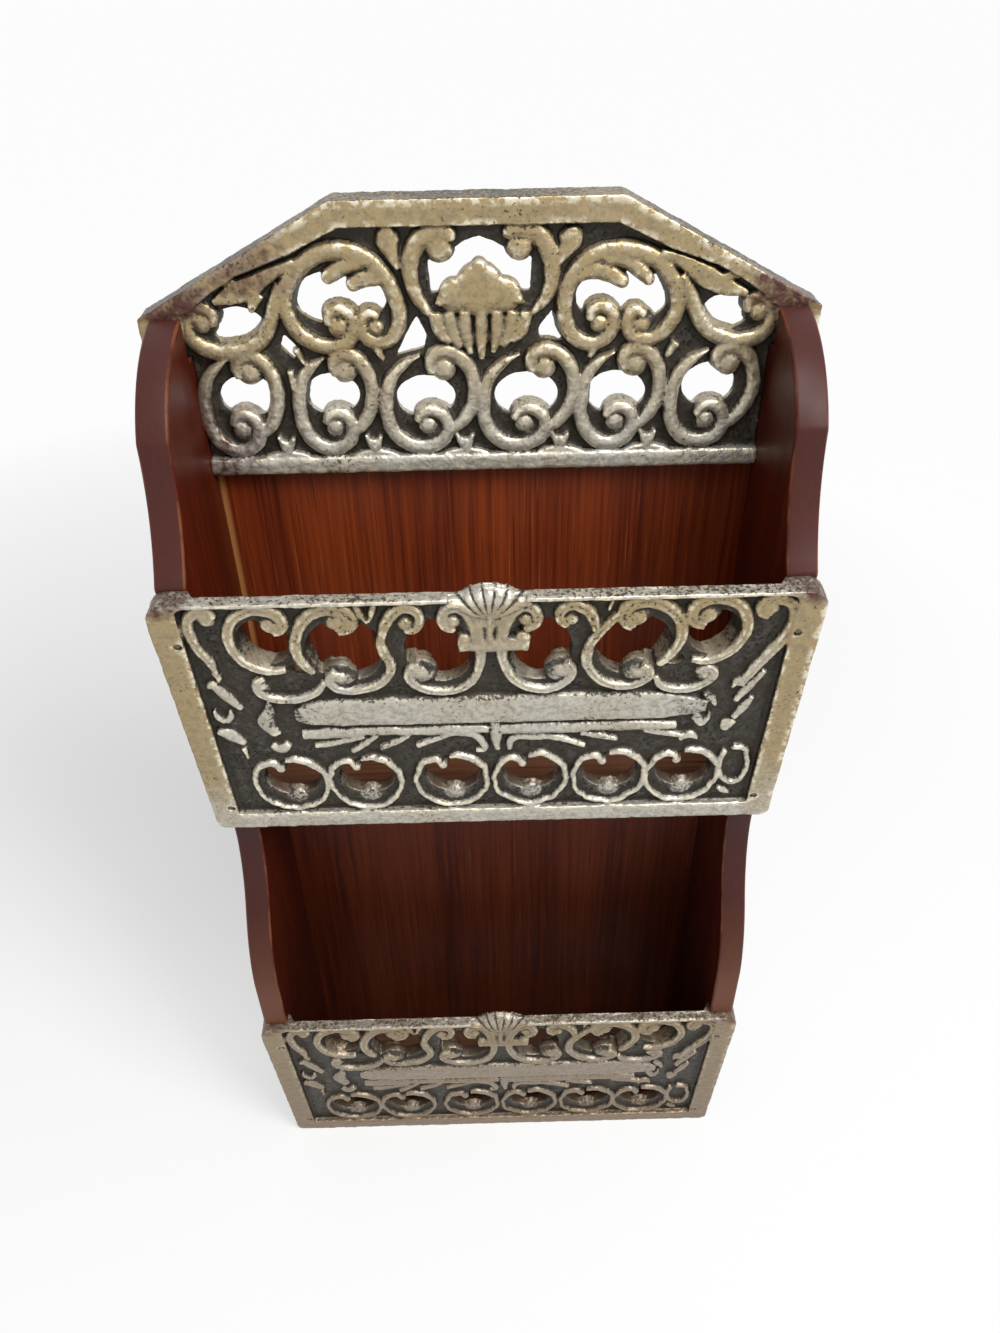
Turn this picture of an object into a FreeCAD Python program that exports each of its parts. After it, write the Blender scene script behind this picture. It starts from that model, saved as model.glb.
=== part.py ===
import FreeCAD, Part
import math
import os

from FreeCAD import Placement, Rotation, Vector

# A two-tier letter rack: wood sides, back and floors, two pierced cast fronts and a pierced cast crest.
# Sizes in millimetres. X runs to the right, Y to the back and Z up.

# Wood box
INNER_W = 201.6          # clear width between the sides
SIDE_T = 10.9            # side boards
BOARD_T = 6.0            # back board
FLOOR_T = 8.5            # pocket floors
POCKET_D = 45.1          # clear depth at a pocket's floor
TIER_RISE = 241.6        # from the lower front's foot to the upper front's foot
CREST_LIFT = 14.6        # from the upper front's top edge to the crest's foot
SIDE_RISE = 58.4         # from the crest's foot to the tops of the sides

# Ogee front edges of the sides
SHOULDER_REACH = 40.0    # rounded shoulder, forward from the crest's face
SHOULDER_DROP = 27.0     # rounded shoulder, down from the top
SHOULDER_BULGE = 5.5
SWEEP_HOLLOW = 3.5       # hollow sweep from the shoulder down to the upper front
WAIST_SET = 1.1          # plain stretch under the upper front, behind its foot
WAIST_H = 17.0
BELLY_H = 31.0           # plain stretch over the lower front
BELLY_SET = 3.3          # behind the lower front's top edge
OGEE_BOW = 2.2           # bow of each half of the ogee between waist and belly

# Cast fronts, sizes along their slope
FRONT_OVERHANG = 2.3     # past the outsides of the sides
FRONT_H = 122.6
FRONT_T = 9.0            # over the borders
FRONT_PLATE_T = 5.2      # field between the scrolls
FRONT_LEAN = 8.1         # degrees outwards from upright
FRONT_BORDER = 10.0      # plain borders left and right
FRONT_FOOT_RIM = 8.5
FRONT_TOP_RIM = 2.6
FRONT_CORNER_R = 3.5
PLAQUE_W = 148.0         # plain raised bar across the middle
PLAQUE_H = 14.0
PLAQUE_Z = 60.4          # foot of the plaque above the foot of the front
STEM_H = 6.8             # leafy stem under the plaque
STEM_GAP = 1.2
SHELL_R = 17.5           # fan of the scallop shell
SHELL_DROP = 14.1        # root of the shell below the front's top edge
SHELL_FLUTES = 7
SHELL_FAN = 22.0         # degrees from one flute to the next
SHELL_ROUND = 1.2        # each flute is this much shorter than its inner neighbour
SHELL_FLUTE_W = 6.0      # a flute at the rim
SHELL_ROOT_W = 1.2       # and at the root
FRONT_RINGS = 6

# Cast crest
CREST_OVERHANG = 4.0     # ears past the outsides of the sides
CREST_H = 94.1
CREST_T = 12.0
CREST_PLATE_T = 7.0      # field between the scrolls
GABLE_W = 94.8           # flat top
EAVE_Z = 58.3            # corners of the gable above the crest's foot
EAR_Z = 44.0             # undersides of the ears, in the notches of the sides
CREST_BORDER = 8.3
CREST_RAIL = 6.5
CREST_RINGS = 6
SPROUT_Z = 13.5          # tops of the sprouts between the rings
URN_FLUTES = 7
URN_FLUTE_LAP = 1.2      # flutes are wider than their pitch, so that they join
URN_ROUND = 0.3          # each flute lies this much lower than its inner neighbour

# Relief
SCROLL_SET = 0.6         # scrolls lie this far below the borders
SHELL_SET = 1.0          # and the shell this far
SCROLL_W = 4.4           # scroll bands on the crest
RIM_W = 2.8              # thinner scroll rims on the fronts

# Nails, brads and screws
BRAD_D = 1.5
BRAD_L = 22.0
BRAD_HEAD_D = 2.8
BRAD_HEAD_H = 0.8
BRAD_FOOT_Z = 13.0       # lower brads above a front's foot
BRAD_TOP_DROP = 18.6     # upper brads below a front's top edge
NAIL_D = 1.8
NAIL_L = 32.0
NAIL_HEAD_D = 2.6
NAIL_HEAD_H = 1.5
BACK_NAIL_L = 26.0
BACK_NAIL_INSET = 30.8   # outer nails of a row in the back board, in from its edges
SCREW_D = 3.0
SCREW_L = 24.0
SCREW_HEAD_D = 6.0
SCREW_HEAD_H = 2.0
HOLE_CLEARANCE = 0.05    # all round a shank or head
CUT_PAST = 1.0           # cuts run this far past a face

# Scroll drawings: points of a band's middle line as (x, height), discs as (x, height, radius)
# and oval holes as (x, height, half-width, half-height).
# A ring of the crest's lower row, x from the ring's middle
CREST_RING_BANDS = [
    [(-4, 40.5), (-11.5, 37), (-15.2, 29), (-15.3, 20), (-11.5, 12.3), (-4, 9.3), (2.4, 12.4), (2.2, 17.5)],
    [(8, 17), (13.2, 22), (15.2, 30), (13.8, 38), (9, 42.4), (4.2, 41.6)],
]
CREST_RING_DISCS = [(-1.6, 16.6, 4.4), (4.6, 38.2, 4.2)]
CREST_RING_HOLE = (0.3, 28.5, 12.2, 10.6)

# The crest's upper part, left half
CREST_HALF_BANDS = [
    [(-92, 60), (-97.5, 60.2), (-100, 55.5), (-98.3, 49.5), (-92, 45.6), (-84, 45.4), (-76.5, 48.5),
     (-72, 54), (-69.3, 61), (-66, 68)],
    [(-44.4, 56), (-44.4, 50.5), (-49.5, 47.3), (-57, 47.8), (-63.5, 53), (-66, 61), (-63.5, 69.5),
     (-57, 75.5), (-47, 78.3)],
    [(-48, 78.3), (-37, 76), (-29.5, 69.5), (-26.2, 60.5), (-27, 52.5), (-31.5, 48), (-37, 48.4),
     (-39.6, 52.5)],
    [(-37, 76), (-44, 74), (-48.5, 71.5), (-50.3, 69.4)],
    [(-30, 71.5), (-36, 69.4), (-42.5, 68)],
    [(-10.6, 80), (-12.6, 83.2), (-17, 83.8), (-21.3, 80.5), (-23.8, 74), (-23.5, 67), (-20.5, 61),
     (-16.8, 57.5)],
    [(-29.6, 84.5), (-29, 80), (-27, 73.5)],
    [(-92, 62.5), (-80, 65.5), (-63, 74.5)],
]
CREST_HALF_DISCS = [(-94, 56.3, 4.0), (-47.6, 53.8, 4.3), (-36, 54.3, 3.9), (-13.4, 79, 3.8)]
CREST_HALF_HOLES = [(-83, 54.6, 9.2, 6.6), (-47, 63.2, 15.5, 10.2)]
CREST_HALF_GAPS = [
    [(-69.5, 46.5), (-68, 50.7), (-63.6, 45.5), (-65.5, 42.3)],
    [(-21.5, 56), (-18.6, 49), (-19.5, 46), (-29.5, 42.8), (-26, 49.5)],
]
CREST_MID_GAP = [(-16.5, 64), (-17.2, 75), (-10.5, 76.8), (-5, 80), (0, 81.7)]
URN_LID = [(0, 75), (4.2, 70.2), (8.8, 66.4), (13, 64.4), (14.6, 60.5)]
URN_TOP = (17.0, 59.8)   # half-width and height of the basket's top
URN_FOOT = (6.0, 42.0)   # and of its foot

# A ring of a front's lower row, x from the ring's middle
FRONT_RING_BANDS = [
    [(-3, 38), (-4.5, 42), (-9.5, 39.5), (-13.4, 31), (-12.6, 22.5), (-8.6, 18)],
    [(3.5, 43.5), (9.5, 39.5), (13.4, 31), (12.6, 21), (7.5, 13), (0.5, 11.2), (-3.2, 15)],
]
FRONT_RING_DISCS = [(-3, 38, 2.4), (0.2, 17, 3.6)]
FRONT_RING_HOLE = (0, 27.5, 11.8, 14.0)

# A front's upper row, left half
FRONT_HALF_BANDS = [
    [(-17.3, 111), (-15.5, 116.4), (-10.5, 118.2), (-5, 114.3), (-2.6, 106), (-2.8, 96), (-4.8, 87),
     (-10, 80.8), (-17, 78.8), (-24.5, 81), (-29, 86.5), (-28.4, 92)],
    [(-36, 107), (-33, 114), (-28, 118.3), (-22.6, 116), (-21.6, 111)],
    [(-47.3, 113), (-51, 117.6), (-58, 117), (-64, 110.5), (-66.3, 102), (-65.3, 94.5), (-62, 90)],
    [(-36.5, 107), (-34.2, 99), (-34.6, 90), (-38.6, 83.5), (-46, 80), (-53, 80.7), (-56.3, 85.5)],
    [(-70, 112), (-73, 117.6), (-80, 118), (-86.4, 112.3), (-88.8, 104), (-87, 96), (-81.5, 91.4),
     (-75, 90.5), (-69.5, 92.6)],
    [(-83.5, 84), (-80.8, 79.3), (-75.5, 77), (-68, 77.4), (-61.5, 81.5), (-60, 86)],
    [(-93, 117), (-99, 118), (-102, 112.5), (-101.8, 105), (-99.5, 97), (-95.5, 90)],
    [(-97.5, 82), (-91.5, 72)],
    [(-98, 66), (-97, 56), (-94, 44)],
    [(-82, 72), (-80.5, 60), (-80.5, 47)],
    [(-66, 49.6), (-50, 53.5)],
    [(-53, 46), (-44, 53.5)],
    [(-42, 47.4), (-33, 53)],
    [(-28, 48.3), (-19, 52.4), (-10, 53.5), (-4.6, 49.5)],
]
FRONT_HALF_DISCS = [
    (-14, 110.8, 3.9), (-24.6, 95, 5.4), (-24.4, 109.8, 3.3), (-50.8, 111, 4.5), (-53.4, 88.5, 4.6),
    (-73, 110.8, 3.4), (-82.5, 84.5, 3.0), (-94.5, 115, 3.6), (-80.5, 64, 3.4), (-4, 47, 2.8),
]
FRONT_HALF_HOLES = [
    (-16.4, 96, 12.6, 14.6), (-50, 98, 14, 15), (-78, 104.4, 9.4, 11.6), (-66.3, 89.8, 4, 2.6),
]

# The crest pattern is drawn for these sizes, and stretched where the casting's own sizes differ.
CREST_DRAWN_W = 201.6
CREST_DRAWN_H = 94.1
# The same for a front's field between its borders and rims
FRONT_DRAWN_W = 208.0
FRONT_DRAWN_H = 111.5
FRONT_DRAWN_FOOT = 8.5
FRONT_RING_PITCH = 31.0

# Levels and planes that follow from the sizes above; Y starts at the foot of a front's face.
lean = math.radians(FRONT_LEAN)
front_rise = FRONT_H * math.cos(lean)
front_face_y = -FRONT_H * math.sin(lean)
front_back_y = FRONT_T * math.cos(lean)
front_back_z = FRONT_T * math.sin(lean)
board_y = front_back_y + POCKET_D
back_y = board_y + BOARD_T
crest_y = back_y - CREST_T
crest_z = TIER_RISE + front_rise + CREST_LIFT
side_top = crest_z + SIDE_RISE
notch_z = crest_z + EAR_Z
inner_x = INNER_W / 2
outer_x = inner_x + SIDE_T
side_mid_x = inner_x + SIDE_T / 2
front_w = 2 * (outer_x + FRONT_OVERHANG)
crest_w = 2 * (outer_x + CREST_OVERHANG)
middle_y = (front_face_y + back_y) / 2


def front_back_at(height):
    """Y of a front's back plane, at a height above that front's foot."""
    return front_back_y - (height - front_back_z) * math.tan(lean)


def bowed(start, end, bow):
    """An arc from start to end in the YZ plane, bowed to the left of the way along it."""
    run = end - start
    across = Vector(0, -run.z, run.y).normalize()
    return Part.Arc(start, (start + end) / 2 + across * bow, end).toShape()


def prism(points, low, high):
    """A straight-sided block over a closed outline of (x, height) points."""
    corners = [Vector(x, y, low) for x, y in points]
    face = Part.Face(Part.makePolygon(corners + corners[:1]))
    return face.extrude(Vector(0, 0, high - low))


def disc(x, y, radius):
    return Part.Face(Part.Wire(Part.makeCircle(radius, Vector(x, y, 0))))


def oval(x, y, half_w, half_h, high):
    """An oval piercing, run past both faces."""
    middle = Vector(x, y, -CUT_PAST)
    wire = Part.Wire(Part.Ellipse(middle, max(half_w, half_h), min(half_w, half_h)).toShape())
    if half_h > half_w:
        wire.rotate(middle, Vector(0, 0, 1), 90)
    return Part.Face(wire).extrude(Vector(0, 0, high + 2 * CUT_PAST))


def band(points, width_in, width_out):
    """A flat scroll band along a smooth line, from one width at its start to another at its end."""
    line = Part.BSplineCurve()
    line.interpolate([Vector(x, y, 0) for x, y in points])
    left = []
    right = []
    last = len(points) - 1
    for i, (x, y) in enumerate(points):
        here = Vector(x, y, 0)
        along = line.tangent(line.parameter(here))[0]
        half = (width_in + (width_out - width_in) * i / last) / 2
        across = Vector(-along.y, along.x, 0) * half
        left.append(here + across)
        right.append(here - across)
    edges = []
    for side in (left, right):
        edge = Part.BSplineCurve()
        edge.interpolate(side)
        edges.append(edge.toShape())
    caps = [Part.makeLine(left[0], right[0]), Part.makeLine(left[-1], right[-1])]
    return Part.Face(Part.Wire(Part.__sortEdges__(edges + caps)))


def raised(faces, high):
    """Flat bands and discs joined where they cross, and raised to one height."""
    joined = Part.Shell(faces[0].multiFuse(faces[1:]).Faces).removeSplitter()
    return joined.extrude(Vector(0, 0, high)).Solids


def mirrored(points):
    """The same drawing on the right half, for points and for discs and ovals alike."""
    return [(-p[0],) + tuple(p[1:]) for p in points]


def both_halves(drawings):
    return drawings + [mirrored(d) for d in drawings]


def shank(diameter, length, head_d, head_h, slack=0.0):
    """A nail or screw along Z: the head's top at 0, the point at -length. Slack widens it to its hole."""
    pin = Part.makeCylinder(diameter / 2 + slack, length, Vector(0, 0, -length))
    head = Part.makeCylinder(head_d / 2 + slack, head_h, Vector(0, 0, -head_h))
    return pin.fuse(head).removeSplitter()


def on_front(shape, foot_z):
    """Stand a front's drawing up: its back plane at the back, its foot at foot_z."""
    placed = shape.copy()
    turn = Rotation(Vector(1, 0, 0), 90 + FRONT_LEAN)
    placed.Placement = Placement(Vector(0, front_back_y, foot_z + front_back_z), turn) * placed.Placement
    return placed


def on_crest(shape):
    placed = shape.copy()
    turn = Rotation(Vector(1, 0, 0), 90)
    placed.Placement = Placement(Vector(0, back_y, crest_z), turn) * placed.Placement
    return placed


def stretched(points, x_scale, y_scale, y_from, y_to):
    """A drawing stretched from its drawn field to the casting's own field."""
    return [(p[0] * x_scale, y_to + (p[1] - y_from) * y_scale) + tuple(p[2:]) for p in points]


def shifted(points, x):
    return [(p[0] + x,) + tuple(p[1:]) for p in points]


def one_solid(shape):
    return shape.removeSplitter().Solids[0]


def brad_places():
    """Where the brads of a front go through it: (x, height) on its face."""
    return [(x, z) for x in (-side_mid_x, side_mid_x) for z in (BRAD_FOOT_Z, FRONT_H - BRAD_TOP_DROP)]


def front_brads(foot_z, slack=0.0):
    """The brads of one front, or with slack the holes they sit in."""
    brads = []
    for x, z in brad_places():
        brad = shank(BRAD_D, BRAD_L, BRAD_HEAD_D, BRAD_HEAD_H, slack)
        brad.translate(Vector(x, z, FRONT_T))
        brads.append(on_front(brad, foot_z))
    return brads


def side_nails(hand, slack=0.0):
    """Nails through one side into the floors' ends and the back board's edge; hand is -1 or 1."""
    floor_ys = (front_back_y + POCKET_D / 3, front_back_y + POCKET_D * 5 / 6)
    board_zs = (TIER_RISE / 2, (TIER_RISE + crest_z) / 2)
    places = [(y, z + FLOOR_T / 2) for z in (0, TIER_RISE) for y in floor_ys]
    places += [(board_y + BOARD_T / 2, z) for z in board_zs]
    nails = []
    for y, z in places:
        nail = shank(NAIL_D, NAIL_L, NAIL_HEAD_D, NAIL_HEAD_H, slack)
        nail.Placement = Placement(Vector(hand * outer_x, y, z), Rotation(Vector(0, 1, 0), 90 * hand))
        nails.append(nail)
    return nails


def back_nails(slack=0.0):
    """Nails through the back board into the floors' back edges."""
    nails = []
    for z in (FLOOR_T / 2, TIER_RISE + FLOOR_T / 2):
        for x in (BACK_NAIL_INSET - inner_x, 0, inner_x - BACK_NAIL_INSET):
            nail = shank(NAIL_D, BACK_NAIL_L, NAIL_HEAD_D, NAIL_HEAD_H, slack)
            nail.Placement = Placement(Vector(x, back_y, z), Rotation(Vector(1, 0, 0), -90))
            nails.append(nail)
    return nails


def crest_screws(slack=0.0):
    """Screws from behind through the crest's ears into the sides."""
    screws = []
    for x in (-side_mid_x, side_mid_x):
        screw = shank(SCREW_D, SCREW_L, SCREW_HEAD_D, SCREW_HEAD_H, slack)
        z = notch_z + (EAVE_Z - EAR_Z) / 2
        screw.Placement = Placement(Vector(x, back_y, z), Rotation(Vector(1, 0, 0), -90))
        screws.append(screw)
    return screws


def side(hand):
    """A side board: ogee front edge, faces for both fronts to lie on, notch for the crest's ear."""
    def at(y, z):
        return Vector(hand * inner_x, y, z)

    front_top_y = front_face_y + front_back_y
    shoulder = at(crest_y - SHOULDER_REACH, side_top - SHOULDER_DROP)
    upper_top = at(front_top_y, TIER_RISE + front_rise + front_back_z)
    waist_y = front_back_y + WAIST_SET
    belly_y = front_face_y + BELLY_SET
    belly_foot = front_rise + BELLY_SET * math.tan(lean)
    waist = at(waist_y, TIER_RISE - WAIST_H)
    belly = at(belly_y, belly_foot + BELLY_H)
    turn = (waist + belly) / 2
    lower_top = at(front_top_y, front_rise + front_back_z)

    corners = [at(back_y, 0), at(back_y, notch_z), at(crest_y, notch_z), at(crest_y, side_top)]
    edges = [Part.makeLine(a, b) for a, b in zip(corners, corners[1:])]
    edges.append(bowed(corners[-1], shoulder, -SHOULDER_BULGE))
    edges.append(bowed(shoulder, upper_top, SWEEP_HOLLOW))
    under = [upper_top, at(front_back_y, TIER_RISE + front_back_z), at(waist_y, TIER_RISE), waist]
    edges += [Part.makeLine(a, b) for a, b in zip(under, under[1:])]
    edges.append(bowed(waist, turn, OGEE_BOW))
    edges.append(bowed(turn, belly, -OGEE_BOW))
    foot = [belly, at(belly_y, belly_foot), lower_top, at(front_back_at(0), 0), corners[0]]
    edges += [Part.makeLine(a, b) for a, b in zip(foot, foot[1:])]

    board = Part.Face(Part.Wire(edges)).extrude(Vector(hand * SIDE_T, 0, 0))
    holes = side_nails(hand, HOLE_CLEARANCE) + crest_screws(HOLE_CLEARANCE)
    holes += front_brads(0, HOLE_CLEARANCE) + front_brads(TIER_RISE, HOLE_CLEARANCE)
    return board.cut(Part.makeCompound(holes)).Solids[0]


def back_board():
    board = Part.makeBox(INNER_W, BOARD_T, crest_z, Vector(-inner_x, board_y, 0))
    holes = back_nails(HOLE_CLEARANCE) + side_nails(-1, HOLE_CLEARANCE) + side_nails(1, HOLE_CLEARANCE)
    return board.cut(Part.makeCompound(holes)).Solids[0]


def floor(foot_z):
    """A pocket floor: its front edge is planed to the slope of the front it meets."""
    profile = [(front_back_at(0), 0), (front_back_at(FLOOR_T), FLOOR_T), (board_y, FLOOR_T), (board_y, 0)]
    corners = [Vector(-inner_x, y, foot_z + z) for y, z in profile]
    board = Part.Face(Part.makePolygon(corners + corners[:1])).extrude(Vector(INNER_W, 0, 0))
    holes = back_nails(HOLE_CLEARANCE) + side_nails(-1, HOLE_CLEARANCE) + side_nails(1, HOLE_CLEARANCE)
    return board.cut(Part.makeCompound(holes)).Solids[0]


def shell(high):
    """The scallop shell: a fan of flutes that widen to its rim."""
    root_y = FRONT_H - SHELL_DROP
    flutes = []
    for i in range(SHELL_FLUTES):
        step = i - (SHELL_FLUTES - 1) / 2
        angle = math.radians(90 + SHELL_FAN * step)
        reach = SHELL_R - SHELL_ROUND * abs(step)
        tip = (reach * math.cos(angle), root_y + reach * math.sin(angle))
        flutes.append(band([(0, root_y), tip], SHELL_ROOT_W, SHELL_FLUTE_W))
        flutes.append(disc(tip[0], tip[1], SHELL_FLUTE_W / 2))
    return raised(flutes, high)


def front():
    """A cast front, lying on its back: plain borders and rims, pierced scrolls, plaque, stem and shell."""
    blank = Part.makeBox(front_w, FRONT_H, FRONT_T, Vector(-front_w / 2, 0, 0))
    blank = blank.makeFillet(FRONT_CORNER_R, [e for e in blank.Edges if abs(e.tangentAt(0).z) > 0.5])
    field_w = front_w - 2 * FRONT_BORDER
    field_h = FRONT_H - FRONT_FOOT_RIM - FRONT_TOP_RIM
    field = Part.makeBox(field_w, field_h, FRONT_T, Vector(-field_w / 2, FRONT_FOOT_RIM, FRONT_PLATE_T))
    x_scale = field_w / FRONT_DRAWN_W
    y_scale = field_h / FRONT_DRAWN_H

    def fit(points):
        return stretched(points, x_scale, y_scale, FRONT_DRAWN_FOOT, FRONT_FOOT_RIM)

    bands = both_halves(FRONT_HALF_BANDS)
    discs = FRONT_HALF_DISCS + mirrored(FRONT_HALF_DISCS)
    holes = FRONT_HALF_HOLES + mirrored(FRONT_HALF_HOLES)
    for i in range(FRONT_RINGS):
        x = (i - (FRONT_RINGS - 1) / 2) * FRONT_RING_PITCH
        bands += [shifted(b, x) for b in FRONT_RING_BANDS]
        discs += shifted(FRONT_RING_DISCS, x)
        holes += shifted([FRONT_RING_HOLE], x)

    high = FRONT_T - SCROLL_SET
    cuts = [oval(x, y, rx * x_scale, ry * y_scale, FRONT_T) for x, y, rx, ry in fit(holes)]
    scrolls = [band(fit(b), RIM_W, RIM_W) for b in bands]
    scrolls += [disc(x, y, r) for x, y, r in fit(discs)]
    plaque = Part.makeBox(PLAQUE_W, PLAQUE_H, high, Vector(-PLAQUE_W / 2, PLAQUE_Z, 0))
    stem = Part.makeBox(PLAQUE_W, STEM_H, high, Vector(-PLAQUE_W / 2, PLAQUE_Z - STEM_GAP - STEM_H, 0))
    relief = raised(scrolls, high) + shell(FRONT_T - SHELL_SET) + [plaque, stem]
    body = blank.cut(field).cut(Part.makeCompound(cuts)).multiFuse(relief)
    slots = []
    for x, z in brad_places():
        hole = shank(BRAD_D, BRAD_L, BRAD_HEAD_D, BRAD_HEAD_H, HOLE_CLEARANCE)
        hole.translate(Vector(x, z, FRONT_T))
        slots.append(hole)
    return one_solid(body.cut(Part.makeCompound(slots)))


def urn(x_scale, y_scale):
    """The basket urn in the middle of the crest: fluted basket and pointed lid."""
    high = CREST_T - SCROLL_SET
    lid = [(x * x_scale, y * y_scale) for x, y in URN_LID]
    pieces = [prism(lid + [(-x, y) for x, y in reversed(lid[1:])], 0, high)]
    pitch_top = 2 * URN_TOP[0] / URN_FLUTES
    pitch_foot = 2 * URN_FOOT[0] / URN_FLUTES
    for i in range(URN_FLUTES):
        step = i - (URN_FLUTES - 1) / 2
        top = (step * pitch_top * x_scale, URN_TOP[1] * y_scale)
        foot = (step * pitch_foot * x_scale, URN_FOOT[1] * y_scale)
        flute = band([top, foot], pitch_top * URN_FLUTE_LAP, pitch_foot * URN_FLUTE_LAP)
        pieces.append(flute.extrude(Vector(0, 0, high - abs(step) * URN_ROUND)))
    return pieces


def crest():
    """The cast crest, lying on its back: gable border, foot rail, ears, urn and pierced scrolls."""
    half_w = crest_w / 2
    half_gable = GABLE_W / 2
    right = [(inner_x, 0), (inner_x, EAR_Z), (half_w, EAR_Z), (half_w, EAVE_Z), (half_gable, CREST_H)]
    outline = right + [(-x, y) for x, y in reversed(right)]
    blank = prism(outline, 0, CREST_T)
    slope = math.atan2(CREST_H - EAVE_Z, half_w - half_gable)
    drop = CREST_BORDER / math.cos(slope)
    top_y = CREST_H - CREST_BORDER
    top_x = half_gable + (CREST_BORDER - drop) / math.tan(slope)
    side_y = top_y - (inner_x - top_x) * math.tan(slope)
    past = inner_x + CUT_PAST
    inside = [(past, CREST_RAIL), (past, EAR_Z), (inner_x, EAR_Z), (inner_x, side_y), (top_x, top_y)]
    field = prism(inside + [(-x, y) for x, y in reversed(inside)], CREST_PLATE_T, CREST_T + CUT_PAST)

    x_scale = INNER_W / CREST_DRAWN_W
    y_scale = CREST_H / CREST_DRAWN_H

    def fit(points):
        return stretched(points, x_scale, y_scale, 0, 0)

    pitch = CREST_DRAWN_W / CREST_RINGS
    bands = both_halves(CREST_HALF_BANDS)
    discs = CREST_HALF_DISCS + mirrored(CREST_HALF_DISCS)
    holes = CREST_HALF_HOLES + mirrored(CREST_HALF_HOLES)
    gaps = both_halves(CREST_HALF_GAPS) + [CREST_MID_GAP + mirrored(reversed(CREST_MID_GAP[:-1]))]
    for i in range(CREST_RINGS):
        x = (i - (CREST_RINGS - 1) / 2) * pitch
        bands += [shifted(b, x) for b in CREST_RING_BANDS]
        discs += shifted(CREST_RING_DISCS, x)
        holes += shifted([CREST_RING_HOLE], x)
        bands.append([(x + pitch / 2, 0), (x + pitch / 2, SPROUT_Z)])

    high = CREST_T - SCROLL_SET
    cuts = [oval(x, y, rx * x_scale, ry * y_scale, CREST_T) for x, y, rx, ry in fit(holes)]
    cuts += [prism(fit(g), -CUT_PAST, CREST_T + CUT_PAST) for g in gaps]
    scrolls = [band(fit(b), SCROLL_W, SCROLL_W) for b in bands]
    scrolls += [disc(x, y, r) for x, y, r in fit(discs)]
    relief = raised(scrolls, high) + urn(x_scale, y_scale)
    body = blank.cut(field).cut(Part.makeCompound(cuts)).multiFuse(relief)
    standing = on_crest(one_solid(body.common(blank)))
    return standing.cut(Part.makeCompound(crest_screws(HOLE_CLEARANCE))).Solids[0]


def save(name, shape):
    """Move the piece so that the origin lies under the middle of the rack, and write it."""
    placed = shape.copy()
    placed.translate(Vector(0, -middle_y, 0))
    placed.exportStep("parts/" + name + ".step")
    print(name, len(placed.Solids), placed.isValid(), round(placed.Volume))


os.makedirs("parts", exist_ok=True)
casting = front()
save("left_side", side(-1))
save("right_side", side(1))
save("back_board", back_board())
save("upper_floor", floor(TIER_RISE))
save("lower_floor", floor(0))
save("upper_front", on_front(casting, TIER_RISE))
save("lower_front", on_front(casting, 0))
save("crest", crest())
save("upper_front_brads", Part.makeCompound(front_brads(TIER_RISE)))
save("lower_front_brads", Part.makeCompound(front_brads(0)))
save("left_side_nails", Part.makeCompound(side_nails(-1)))
save("right_side_nails", Part.makeCompound(side_nails(1)))
save("back_board_nails", Part.makeCompound(back_nails()))
save("crest_screws", Part.makeCompound(crest_screws()))
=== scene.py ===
import math

import bmesh
import bpy
import numpy as np
from mathutils import Matrix, Vector


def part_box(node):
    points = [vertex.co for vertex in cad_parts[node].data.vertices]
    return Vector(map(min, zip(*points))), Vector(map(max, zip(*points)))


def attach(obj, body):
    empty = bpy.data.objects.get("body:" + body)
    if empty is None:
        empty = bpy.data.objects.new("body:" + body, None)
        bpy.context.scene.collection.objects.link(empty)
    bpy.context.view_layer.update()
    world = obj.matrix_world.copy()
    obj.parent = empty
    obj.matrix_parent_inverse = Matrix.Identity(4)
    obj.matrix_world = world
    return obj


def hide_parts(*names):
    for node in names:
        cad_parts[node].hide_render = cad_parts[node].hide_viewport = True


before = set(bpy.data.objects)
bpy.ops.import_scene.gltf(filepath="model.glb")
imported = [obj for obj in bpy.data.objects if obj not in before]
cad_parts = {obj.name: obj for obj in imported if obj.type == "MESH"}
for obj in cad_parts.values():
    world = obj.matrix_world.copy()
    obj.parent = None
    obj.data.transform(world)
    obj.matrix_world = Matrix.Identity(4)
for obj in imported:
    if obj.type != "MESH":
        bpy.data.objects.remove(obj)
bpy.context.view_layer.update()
scene = bpy.context.scene
scene.view_settings.view_transform = "Standard"

# The castings are drawn flat in millimetres, as (x, height) on their face, and set in place in metres.
MM = 0.001

# Sizes shared with the solids
FRONT_W = 228.0
FRONT_H = 122.6
FRONT_T = 9.0
FRONT_LEAN = math.radians(8.1)
FRONT_BORDER = 10.0
FRONT_FOOT_RIM = 8.5
FRONT_TOP_RIM = 1.6
CREST_HALF_W = 115.7
CREST_INNER_X = 100.8
CREST_H = 94.1
CREST_T = 12.0
CREST_HALF_GABLE = 47.4
CREST_EAVE = 58.3
CREST_EAR = 44.0
CREST_BORDER = 8.3
CREST_RAIL = 6.5
BRAD_PLACES = [(x, y) for x in (-106.25, 106.25) for y in (13.0, 104.0)]

# Heights in the castings: the sunk ground and the crowns of the scrolls
FRONT_GROUND = 5.8
FRONT_CROWN = 8.5
CREST_GROUND = 7.8
CREST_CROWN = 11.4
CREST_HOLLOW = 5.0       # the pierced field is thin, and open behind between the border and the rail
FRONT_THINNED = 4.0      # how far the back is drawn in at the upper edge of a front

# The cast skin
CAST_GRAIN = 0.42        # size of the melt's cells, finer than the smallest ridge
CAST_TRIANGLES = 190000
WASH_CELL = 0.55         # cells of the height map that finds the creases
WASH_REACH = 3           # cells that a crease is measured across
BRAD_SINK = 1.55         # half-width of the countersinks for the brads
STROKE_STEP = 0.6        # along a stroke
OUTLINE_STEP = 1.0       # along an outline
KNOB_SIDES = 28
WELD = 0.001             # points of a plate this close become one

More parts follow.
